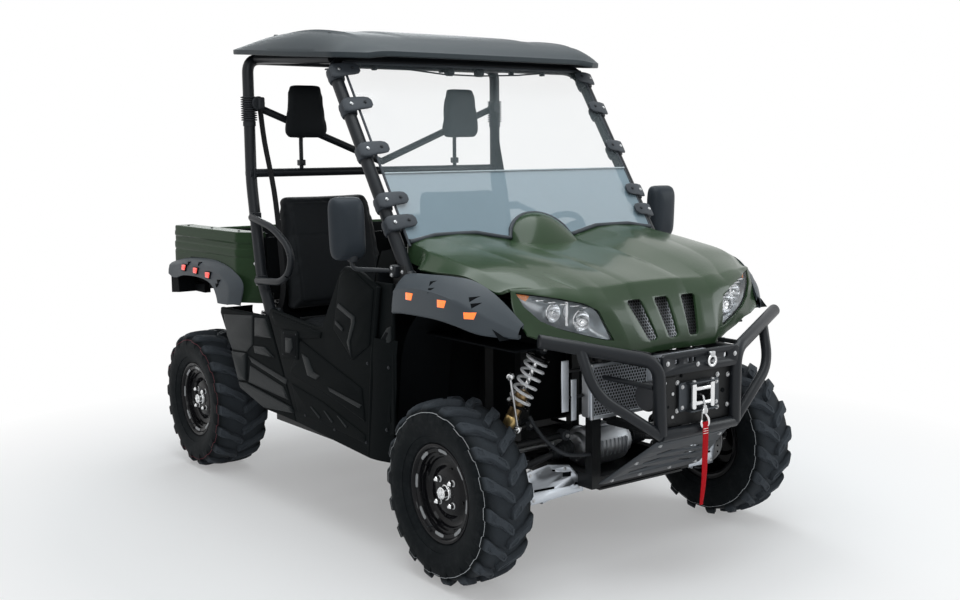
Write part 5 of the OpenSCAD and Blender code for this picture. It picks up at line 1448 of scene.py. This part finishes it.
def padShape(name, body, node, rows, finish, seams, cap):  # rows of four corners, bottom to top; seams press grooves in
    f = Form()
    rings = []
    for row in curveThrough(rows, 3):
        ring = []
        for i in range(4):
            a, b = row[i], row[(i + 1) % 4]
            ring += [a.lerp(b, t) for t in (0.06, 0.25, 0.5, 0.75, 0.94)]
        rings.append(ring)
    f.loft(rings, finish)
    o = f.make(name, body, node, "seat_vinyl")
    mod = o.modifiers.new("remesh", "REMESH"); mod.mode, mod.voxel_size, mod.use_smooth_shade = "VOXEL", seat["voxel"] * 1, True
    mod = o.modifiers.new("ease", "SMOOTH"); mod.factor, mod.iterations = 0.5, 6
    applyModifiers(o)
    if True: swell(o, cap)
    mod = o.modifiers.new("rounding", "SUBSURF"); mod.levels = mod.render_levels = 1
    applyModifiers(o)
    for v in o.data.vertices: v.co -= v.normal * seams(v.co.x * 1000, (v.co.y - datum["y"]) * 1000, v.co.z * 1000, v.normal) * 0.001
    if not o.data.materials: o.data.materials.append(finishes[finish].made)
    o.data.shade_smooth()
    return o


def otherSide(o, name, body, node):  # mirrored copy on the other seat
    mesh = o.data.copy()
    mesh.transform(Matrix.Scale(-1, 4, (1, 0, 0)))
    mesh.flip_normals()
    c = bpy.data.objects.new(name, mesh)
    bpy.context.scene.collection.objects.link(c)
    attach(c, body)
    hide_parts(node)
    return c


def line(d, half, deep): return deep * max(0.0, 1 - abs(d) / half) ** 1.5


def addSeats():
    def cushionSeams(x, y, z, n):
        up = max(0, n.z)
        frameLine = min(abs(x - 158), abs(x - 562)) if 40 < y < 340 else 99
        ends = min(abs(y - 40), abs(y - 338)) if 158 < x < 562 else 99
        return up * (line(min(frameLine, ends), 7, 5) + line(y - 190, 6, 3) * (1 if 158 < x < 562 else 0)) + line(z - 712, 4, 2.5) * (1 - up)
    def backSeams(x, y, z, n):
        front = max(0, -n.y)
        edge = min(abs(x - 172), abs(x - 548)) if 830 < z < 1250 else 99
        ends = min(abs(z - 830), abs(z - 1250)) if 172 < x < 548 else 99
        return front * (line(min(edge, ends), 7, 5) + line(z - 1110, 6, 3.2) * (1 if 172 < x < 548 else 0)) + line(y - (465 + (z - 780) * 0.21), 4,
            2) * (1 - front)
    def headSeams(x, y, z, n): return line(abs(y - 574), 3, 1.6)
    c = padShape("seatCushion_left", "chassis", "seat_cushions", [
        [(118, 10, 700), (602, 10, 700), (602, 366, 700), (118, 366, 700)], [(114, 4, 732), (606, 4, 732), (606, 370, 732), (114, 370, 732)],
        [(124, 16, 764), (596, 16, 764), (604, 362, 758), (116, 362, 758)]], "vinyl", cushionSeams, seat["cap"])
    b = padShape("seatBack_left", "chassis", "seat_backs", [
        [(120, 392, 790), (600, 392, 790), (604, 456, 790), (116, 456, 790)], [(114, 408, 900), (606, 408, 900), (606, 478, 900), (114, 478, 900)],
        [(120, 446, 1080), (600, 446, 1080), (600, 520, 1080), (120, 520, 1080)],
            [(136, 486, 1230), (584, 486, 1230), (584, 554, 1230), (136, 554, 1230)],
        [(154, 508, 1284), (566, 508, 1284), (566, 562, 1284), (154, 562, 1284)]], "vinyl", backSeams, seat["cap"])
    h = padShape("headrest_left", "chassis", "headrests", [
        [(329, 556, 1516), (494, 556, 1516), (494, 592, 1516), (329, 592, 1516)],
            [(309, 553, 1545), (514, 553, 1545), (514, 594, 1545), (309, 594, 1545)],
        [(319, 554, 1653), (504, 554, 1653), (504, 594, 1653), (319, 594, 1653)],
            [(331, 558, 1732), (492, 558, 1732), (492, 592, 1732), (331, 592, 1732)],
        [(355, 560, 1751), (468, 560, 1751), (468, 590, 1751), (355, 590, 1751)]], "vinyl", headSeams, 0.006)
    otherSide(c, "seatCushion_right", "chassis", "seat_cushions")
    otherSide(b, "seatBack_right", "chassis", "seat_backs")
    otherSide(h, "headrest_right", "chassis", "headrests")
    print("seats are in")


def seatBits(f):
    f.tube([(110, 402, 700), (108, 402, 760), (104, 430, 800)], 11, "framePaint", 14)
    f.box((150, 379, 700), (570, 388, 770), "framePaint", 3)
    f.box((622, 446, 700), (652, 470, 742), "framePaint", 3)


def beltSide(f):
    path = curveAlong([(622, 584, 1640), (618, 560, 1500), (612, 500, 1300), (612, 462, 1100), (612, 442, 900), (618, 470, 800)], 4)
    rings = []
    for p in path: rings.append([p + Vector((dx, dy, 0)) for dx, dy in ((-1.2, -22), (1.2, -22), (1.2, 22), (-1.2, 22))])
    f.loft(rings, "belt")
    f.box((606, 566, 1640), (634, 606, 1690), "rubber", 5)
    f.turned([(-6, 26), (-3, 29), (12, 29), (15, 24)], (628, 586, 1665), (0, 1, 0), "rubber", 28, caps=True)
    f.box((606, 454, 756), (632, 494, 806), "rubber", 6)
    f.box((92, 398, 770), (108, 424, 850), "rubber", 4)
    f.box((94, 396, 836), (106, 426, 850), "redButton", 2)
    f.box((86, 452, 700), (98, 480, 790), "belt", 1)


def addCab():
    f = Form()
    f.box((-684, 70, 401), (684, 376, 684), "liner", 14)
    f.both(seatBits)
    for x in (-360, 360):
        f.box((x - 220, 60, 440), (x + 220, 72, 640), "panel", 8)
        f.box((x - 60, 54, 600), (x + 60, 64, 622), "panelPaintedHighlight", 4)
    f.box((-70, 62, 430), (70, 71, 660), "panel", 8)
    f.make("seatBase", "chassis", "seat_base", "black_plastic", bevel=1.5)
    Form().both(beltSide).make("seatBelts", "chassis", "seat_belts", "black_web", smooth=40)
    f = Form()
    f.box((-700, -424, 388), (700, 60, 400), "liner", 3)
    f.box((-684, -430, 380), (684, -418, 1040), "liner", 3)
    f.box((-600, 488, 684), (600, 494, 900), "liner", 2)
    f.box((-110, -424, 388), (110, 60, 520), "panel", 16)
    for s in (-1, 1):
        for k in range(11): f.box((min(s * 140, s * 640), -390 + 38 * k, 400), (max(s * 140, s * 640), -376 + 38 * k, 403.5), "liner", 1.5)
        f.box((min(s * 672, s * 700), -400, 400), (max(s * 672, s * 700), 60, 428), "panel", 6)
    f.tube([(60, -60, 516), (64, -80, 610), (70, -90, 690)], 7, "steel", 14)
    f.turned([(0, 10), (6, 21), (26, 25), (42, 20), (48, 6)], (70, -90, 686), (0.06, -0.1, 1), "rubber", 24, caps=True)
    boots(f, (60, -60, 516), (62, -70, 570), 36, 12, 4)
    f.tube(rounded([(-60, 10, 516), (-60, -60, 560), (-60, -80, 640)], 30), 8, "rubber", 14)
    f.make("floorTub", "chassis", "floor_tub", "black_plastic", bevel=1.2)
    f = Form()
    xs = [-600, -560, -420, -300, -180, -60, 60, 180, 300, 420, 560, 600]
    rows = []
    for y, z in ((-414, 1040), (-412, 1112), (-380, 1114), (-318, 1096), (-300, 1080), (-284, 1030), (-264, 948), (-266, 934), (-300, 880),
            (-322, 824), (-378, 824)):
        rows.append([(x, y + (6 if abs(x) > 590 else 0), z + 8 * math.cos(x / 260) * (1 if y > -400 and z > 1060 else 0)) for x in xs])
    f.grid(rows, "panel")
    for s in (-1, 1): f.add([(s * 600, y, z) for y, z in ((-414, 1040), (-412, 1112), (-318, 1096), (-284, 1030), (-264, 948), (-322, 824),
            (-378, 824))], [tuple(range(7))], "panel")
    f.prism([(-560, 960), (-180, 960), (-190, 1064), (-550, 1064)], "y", -272, -262, "panelPaintedHighlight", cut=3)
    f.prism([(-400, 1040), (-340, 1040), (-344, 1052), (-396, 1052)], "y", -262, -256, "liner")
    f.prism([(-60, 900), (90, 900), (84, 1040), (-54, 1040)], "y", -290, -262, "liner", cut=4)
    for x in (-36, 4, 44): f.prism([(x, 1004), (x + 26, 1004), (x + 26, 1028), (x, 1028)], "y", -262, -256, "rubber", cut=2)
    f.turned([(0, 15), (5, 16), (8, 12), (14, 12), (16, 9)], (16, -264, 960), (0, 1, 0.1), "steel", 28, caps=True)
    f.turned([(0, 17), (6, 17), (8, 12), (16, 14), (20, 9)], (-470, -270, 1016), (0, 1, 0.2), "redButton", 28, caps=True)
    f.turned([(0, 60), (20, 62), (26, 58), (24, 52), (22, 1)], (330, -330, 1118), (0, 0.6, 0.8), "rubber", 40, caps=True)
    f.turned([(22.5, 50), (23, 1)], (330, -330, 1118), (0, 0.6, 0.8), "lens", 40)
    f.turned([(0, 34), (14, 34), (16, 28), (6, 26)], (-500, -300, 900), (0, 1, 0.25), "liner", 32, caps=True)
    for x in (-590, 590): f.bolt((x * 0.985, -268, 970), (0, 1, 0), 5, "rubber")
    f.make("dashMoulding", "chassis", "dash", "black_plastic", bevel=1.5, smooth=40)
    top, axis = Vector((330, -170, 1070)), Vector((0, 0.75, 0.66)).normalized()
    u, v = Vector((1, 0, 0)), axis.cross(Vector((1, 0, 0)))
    f = Form()
    rim = [top + 165 * (math.cos(a) * u + math.sin(a) * v) for a in (2 * math.pi * k / 72 for k in range(72))]
    rings = []
    for i, p in enumerate(rim):
        out = (p - top).normalized()
        grip = 13.6 - 1.4 * (0.5 + 0.5 * math.cos(12 * 2 * math.pi * i / 72)) * (1 if i % 18 > 3 else 0.2)
        rings.append([p + grip * (math.cos(t) * out + math.sin(t) * axis) for t in (2 * math.pi * k / 14 for k in range(14))])
    f.grid(rings + [rings[0]], "rubber", closed=True)
    for k in range(3):
        a = math.radians(90 + 120 * k)
        d, side = math.cos(a) * u + math.sin(a) * v, -math.sin(a) * u + math.cos(a) * v
        f.loft([[top + d * r + side * w * sx + axis * (h + t * sy) for sx,
            sy in ((-1, -0.6), (-0.6, -1), (0.6, -1), (1, -0.6), (1, 0.6), (0.6, 1), (-0.6, 1), (-1, 0.6))]
                for r, w, t, h in ((30, 17, 5, -2), (70, 12, 4.5, -3), (120, 11, 4, -2), (157, 14, 5, 0))], "rimBlack")
    f.turned([(-10, 26), (-8, 40), (4, 40), (9, 36), (10, 20), (10.5, 1)], top, axis, "rubber", 36, caps=True)
    f.make("steeringWheelRim", "steering_wheel", "steering_wheel", "rubber", bevel=0.5, smooth=45)
    f = Form()
    f.turned([(-112, 22), (-60, 22), (-58, 27), (-40, 27), (-34.5, 20)], top, axis, "liner", 28, caps=True)
    f.rod(top - axis * 112, top - axis * 130, 14, "steel", 18)
    for x in (270, 380):
        f.box((x - 30, -396, 470), (x + 30, -388, 540), "steel", 3)
        for k in range(5): f.box((x - 27, -388, 476 + 13 * k), (x + 27, -385.5, 483 + 13 * k), "rubber", 1)
        f.tube(rounded([(x, -410, 580), (x, -402, 540), (x, -397, 500)], 14), 6, "steel", 12)
    f.tube([(345, -190, 1010), (375, -150, 1035), (420, -120, 1050)], 4, "rubber", 10)
    f.make("steeringColumn", "chassis", "steering_column", "frame_paint", bevel=0.5)
    print("cab is in")


addSeats()
addCab()
bed = {"y": (606, 1352), "half": 600, "floor": 850}
bedLower = [(606, 812), (700, 812), (726, 812), (770, 900), (840, 960), (1000, 985), (1180, 980), (1330, 930), (1370, 860), (1376, 830)]


def lowerEdge(y):
    for (y0, z0), (y1, z1) in zip(bedLower, bedLower[1:]):
        if y0 <= y <= y1: return z0 + (z1 - z0) * (y - y0) / max(1e-6, y1 - y0)
    return 830


def bedProfile(z):  # how far the side stands in or out at height z
    def step(a, b): return max(0.0, min(1.0, (z - a) / (b - a)))
    s = lambda t: t * t * (3 - 2 * t)
    return -7 * s(step(1040, 1050)) + 5.5 * s(step(1066, 1074)) - 3 * s(step(1090, 1096)) - 6 * max(0,
        1 - abs(z - 1008) / 7) ** 0.8 * 0.55 - 5 * s(1 - step(840, 930)) * 0.6


def bedSide(f):
    plan = [(604, 606), (612, 606), (622, 606), (630, 608), (640, 618), (660, 646), (680, 673), (692, 690), (698, 700), (700, 712), (700, 726),
        (700, 745), (700, 770), (700, 800), (700, 840),
            (700, 900), (700, 1000), (700, 1100), (700, 1180), (700, 1250), (700, 1330), (700, 1352), (699, 1366), (694, 1373), (684, 1376),
                (660, 1376), (630, 1376), (604, 1376)]
    rows = []
    for i, (x, y) in enumerate(plan):
        a, b = Vector((*plan[max(i - 1, 0)], 0)), Vector((*plan[min(i + 1, len(plan) - 1)], 0))
        d = (b - a).normalized()
        out = Vector((d.y, -d.x, 0))
        low = lowerEdge(y) if x > 640 else (812 if y < 700 else 834)
        col = []
        for z in [1118 - 0, 1116, 1110, 1100, 1096, 1092, 1084, 1074, 1070, 1066, 1056, 1050, 1046, 1042, 1038, 1018, 1013, 1008, 1003, 998, 985, 940,
                900, 870, 840, 812]:
            zz = max(z, low)
            k = bedProfile(zz) - (4 if z == 1118 else 1.2 if z == 1116 else 0)
            col.append(Vector((x, y, zz)) + out * k)
        e = col[-1]
        rows.append([Vector((x, y, 1118)) - out * 22] + [Vector((x, y, 1118.0)) - out * 12] + col + [e - out * 10 + Vector((0, 0, -1)),
            e - out * 12 + Vector((0, 0, 8))])
    f.grid(rows, "bedGreen")
    f.loft([[Vector((604, 608, z)), Vector((630, 622, z)), Vector((686, 700, z)), Vector((686, 1362, z)), Vector((604, 1362, z))] for z in (1098,
        1117.4)], "bedGreen")
    f.loft([[Vector((588, 612, z)), Vector((604, 612, z)), Vector((604, 1356, z)), Vector((588, 1356, z))] for z in (1090, 1112)], "bedLiner")
    f.box((604, 1356, 830), (692, 1375, 1098), "bedGreen", 3)
    f.box((606, 700, 812), (612, 730, 1096), "bedLiner", 2)
    f.prism([(1284, 806), (1375, 798), (1375, 905), (1340, 925), (1296, 930)], "x", 640, 722, "liner", cut=2)
    f.prism([(1180, 806), (1318, 806), (1318, 838), (1180, 850)], "x", 610, 640, "liner", cut=2)
    for y, z in ((760, 1106), (1040, 1106), (1300, 1106)): f.bolt((655, y, 1118), (0, 0, 1), 5, "rubber")


def addBed():
    Form().both(bedSide).make("bedSides", "bed", "bed_panels", "green_paint", smooth=30)
    f = Form()
    (y0, y1), h, z0 = bed["y"], bed["half"], bed["floor"]
    f.box((-h - 18, y0, z0 - 20), (h + 18, y1, z0), "bedLiner", 3)
    for s in (-1, 1):
        f.box((min(s * h, s * (h + 18)), y0, z0 - 1), (max(s * h, s * (h + 18)), y1, 1096), "bedLiner", 4)
        for k in range(7): f.box((min(s * (h - 5), s * h), y0 + 60 + 100 * k, z0 + 30), (max(s * (h - 5), s * h), y0 + 90 + 100 * k, 1070),
                "bedLiner", 3)
        f.box((min(s * 250, s * 290), y0 + 30, 790), (max(s * 250, s * 290), 1190, z0 - 20), "framePaint", 3)
        f.box((min(s * 290, s * 306), 1140, 800), (max(s * 290, s * 306), 1260, z0 - 20), "framePaint", 2)
        for y in (700, 960, 1180): f.bolt((s * 270, y, 790), (0, 0, -1), 7)
    f.box((-h, y0, z0 - 1), (h, y0 + 18, 1096), "bedLiner", 4)
    for k in range(11): f.box((-545 + 104 * k, y0 + 18, z0 + 30), (-515 + 104 * k, y0 + 23, 1070), "bedLiner", 3)
    for k in range(13): f.box((-568 + 92 * k, y0 + 40, z0), (-536 + 92 * k, y1 - 20, z0 + 3), "bedLiner", 1.2)
    for k in range(5): f.box((-600, 680 + 150 * k, 812), (600, 700 + 150 * k, z0 - 19), "framePaint", 2)
    f.make("cargoTub", "bed", "cargo_bed", "black_plastic", bevel=1.0)
    lamp = Form()
    for s in (-1, 1):
        x0, x1 = min(s * 616, s * 688), max(s * 616, s * 688)
        lamp.box((x0, 1376.6, 950), (x1, 1383, 1050), "liner", 3)
        lamp.box((x0 + 5, 1382, 984), (x1 - 5, 1388, 1045), "red", 4)
        lamp.box((x0 + 5, 1382, 955), (x1 - 5, 1388, 981), "reflector", 4)
    lamp.make("tailLamps", "bed", "tail_lights", "lamp_red", bevel=1.2)
    g = Form()
    g.box((-594, 1358, 858), (594, 1372, 1094), "bedGreen", 4)
    for x0, x1 in ((-560, -200), (-160, 160), (200, 560)):
        g.box((x0, 1371, 884), (x1, 1375.6, 1062), "bedGreen", 4)
        g.box((x0 + 34, 1374, 914), (x1 - 34, 1375.9, 1032), "bedGreen", 1.8)
    g.tube([(-586, 1366, 1090), (586, 1366, 1090)], 8, "bedGreen", 16)
    g.box((-70, 1372, 1040), (70, 1376, 1076), "liner", 2)
    g.box((-54, 1372, 1050), (54, 1376, 1066), "steel", 2)
    g.box((-590, 1353, 866), (590, 1358.5, 1086), "bedLiner", 2)
    for s in (-1, 1):
        g.rod((s * 585, 1366, 866), (s * 602, 1366, 866), 5, "steel", 16)
        g.box((min(s * 560, s * 592), 1356, 852), (max(s * 560, s * 592), 1374, 878), "steel", 3)
        g.box((min(s * 566, s * 592), 1371, 1040), (max(s * 566, s * 592), 1375.8, 1076), "steel", 2)
    g.make("tailgatePanel", "tailgate", "tailgate", "green_paint", bevel=1.2)
    print("bed is on")


bedFlareRows = [(672, 802, 812, 802), (640, 900, 826, 836), (747, 955, 853, 868), (860, 978, 903, 890), (951, 984, 980, 900), (1070, 982, 1080, 902),
    (1180, 976, 1186, 896), (1290, 962, 1284, 878), (1362, 948, 1350, 892)]


def addBedFlares():
    rows = []
    for y0, z0, y2, z2 in bedFlareRows:
        a, c = Vector((701, y0, z0)), Vector((745, y2, z2))
        b = Vector((736, y0 * 0.6 + y2 * 0.4, z0 * 0.7 + z2 * 0.3))
        rows.append([a + (c - a).normalized() * 4 + Vector((-1, 0, -6)), a, a.lerp(b, 0.1) + Vector((3, 0, 1)), a.lerp(b, 0.5) + Vector((3, 0, 3)),
            a.lerp(b, 0.9) + Vector((1, 0, 1)), b, b.lerp(c, 0.12), b.lerp(c, 0.5) + Vector((1.5, 0, 0)), b.lerp(c, 0.94), c, c + Vector((-6, 0, -1)),
            c + Vector((-10, 0, 5))])
    grid = curveThrough(rows, 5)
    skin = Skin(Form().grid(grid, "flare"))
    f = Form()
    f.grid(grid, "flare")
    for y, z in ((1166, 932), (1034, 928), (902, 918)):
        edge = [(y - 25, z + 14), (y + 25, z + 14), (y + 18, z - 12), (y - 18, z - 12)]
        layOn(f, skin, edge, "+x", 3, "liner", slope=3)
        layOn(f, skin, inset(edge, 4), "+x", 5.5, "red", slope=2)
    for y, z in ((1124, 956), (1010, 962), (800, 900), (812, 882)): layOn(f, skin, [(y - 11, z + 6), (y + 11, z + 4), (y + 4, z - 7)], "+x", 1.0,
            "liner", slope=0.8)
    Form().mirrored(f).make("bedFlares", "bed", "bed_flares", "grey_plastic", smooth=34, thick=4.0)
    print("bed flares are on")


def refinish():  # machined and welded parts kept from the frame
    given = {"frame_rails": "framePaint", "frame_crossbars": "framePaint", "frame_uprights": "framePaint", "frame_upper": "framePaint",
        "hitch": "framePaint",
             "engine": "iron", "muffler": "iron", "bed_hinge": "steel", "tie_rods": "steel"}
    for node, finish in given.items():
        o = bpy.data.objects[node]
        o.data.materials.clear()
        o.data.materials.append(finishes[finish].made)
    print("frame is finished")


addBed()
addBedFlares()
refinish()
camera = {"at": (-2.9638, -4.0826, 1.4763), "yaw": 36.677, "pitch": 7.705, "roll": -0.495, "lens": 45.08, "shift": (0.0028, 0.0095)}


studio = {"fill": 0.31, "near": 1.6, "far": 2.9, "lift": 0.30, "tint": (0.93, 0.985, 1.0), "lamps": [
    ("overhead", (-0.2, -0.4, 4.6), (0, 0, 0), (3.6, 5.0), 165), ("frontKey", (-4.0, -5.4, 3.4), (0, 0, 0.6), (2.2, 1.6), 42),
    ("farSide", (4.6, -3.4, 2.6), (0, 0, 0.8), (2.2, 2.2), 60), ("rearLeft", (2.5, 5.4, 3.4), (0, 0, 0.9), (3, 2), 80)]}


def addCamera():
    yaw, pitch, roll = (math.radians(camera[k]) for k in ("yaw", "pitch", "roll"))
    d = Vector((math.sin(yaw) * math.cos(pitch), math.cos(yaw) * math.cos(pitch), -math.sin(pitch)))
    right = Vector((math.cos(yaw), -math.sin(yaw), 0))
    up = right.cross(d)
    r = math.cos(roll) * right + math.sin(roll) * up
    u = -math.sin(roll) * right + math.cos(roll) * up
    data = bpy.data.cameras.new("camera")
    data.lens, data.sensor_width = camera["lens"], 36
    data.shift_x, data.shift_y = camera["shift"]
    cam = bpy.data.objects.new("camera", data)
    cam.matrix_world = Matrix.Translation(Vector(camera["at"]) + Vector((0, datum["y"], 0))) @ Matrix((r, u, -d)).transposed().to_4x4()
    bpy.context.scene.collection.objects.link(cam)
    bpy.context.scene.camera = cam


def addLight(name, at, look, size, power, colour=(1, 1, 1)):
    data = bpy.data.lights.new(name, "AREA")
    data.shape, data.size, data.size_y, data.energy, data.color = "RECTANGLE", size[0], size[1], power, colour
    o = bpy.data.objects.new(name, data)
    o.location = at
    o.rotation_euler = (Vector(look) - Vector(at)).to_track_quat("-Z", "Y").to_euler()
    bpy.context.scene.collection.objects.link(o)


def seen(tree):  # 1 for rays that look at the background: camera, mirror and glass rays
    path = tree.nodes.new("ShaderNodeLightPath")
    out = path.outputs["Is Camera Ray"]
    for name in ("Is Glossy Ray", "Is Transmission Ray"):
        pick = tree.nodes.new("ShaderNodeMath"); pick.operation = "MAXIMUM"
        tree.links.new(out, pick.inputs[0]); tree.links.new(path.outputs[name], pick.inputs[1])
        out = pick.outputs[0]
    return out


def addStudio():
    for name, at, look, size, power in studio["lamps"]: addLight(name, at, look, size, power, studio["tint"])
    world = bpy.data.worlds.new("studio")
    world.use_nodes = True
    t = world.node_tree
    level = t.nodes.new("ShaderNodeMapRange")
    t.links.new(seen(t), level.inputs["Value"])
    level.inputs["To Min"].default_value, level.inputs["To Max"].default_value = studio["fill"], 1.0
    t.links.new(level.outputs[0], t.nodes["Background"].inputs["Strength"])
    t.nodes["Background"].inputs["Color"].default_value = (1, 1, 1, 1)
    bpy.context.scene.world = world
    floorMesh = bpy.data.meshes.new("floor")
    floorMesh.from_pydata([(-40, -40, -0.002), (40, -40, -0.002), (40, 40, -0.002), (-40, 40, -0.002)], [], [(0, 1, 2, 3)])
    floor = bpy.data.objects.new("floor", floorMesh)
    bpy.context.scene.collection.objects.link(floor)
    m = Finish("paleFloor", Roughness=0.9)
    x, y, z = m.axes()
    away = ((x * x + y * y) ** 0.5 - studio["near"]) / (studio["far"] - studio["near"])
    m.feed(Base_Color=m.mix((0.86, 0.86, 0.87), (0.90, 0.90, 0.91), m.noise(0.8, 2)))
    glow = m.tree.nodes.new("ShaderNodeEmission")
    both = m.tree.nodes.new("ShaderNodeMixShader")
    m.tree.links.new(((away.clamp() * (1 - studio["lift"]) + studio["lift"]) * Sock(m, seen(m.tree))).out, both.inputs[0])
    m.tree.links.new(m.shader.outputs[0], both.inputs[1])
    m.tree.links.new(glow.outputs[0], both.inputs[2])
    m.tree.links.new(both.outputs[0], next(n for n in m.tree.nodes if n.type == "OUTPUT_MATERIAL").inputs[0])
    floorMesh.materials.append(m.made)


addCamera()
addStudio()
bpy.context.scene.view_settings.view_transform = "Standard"
print("camera and light are in")
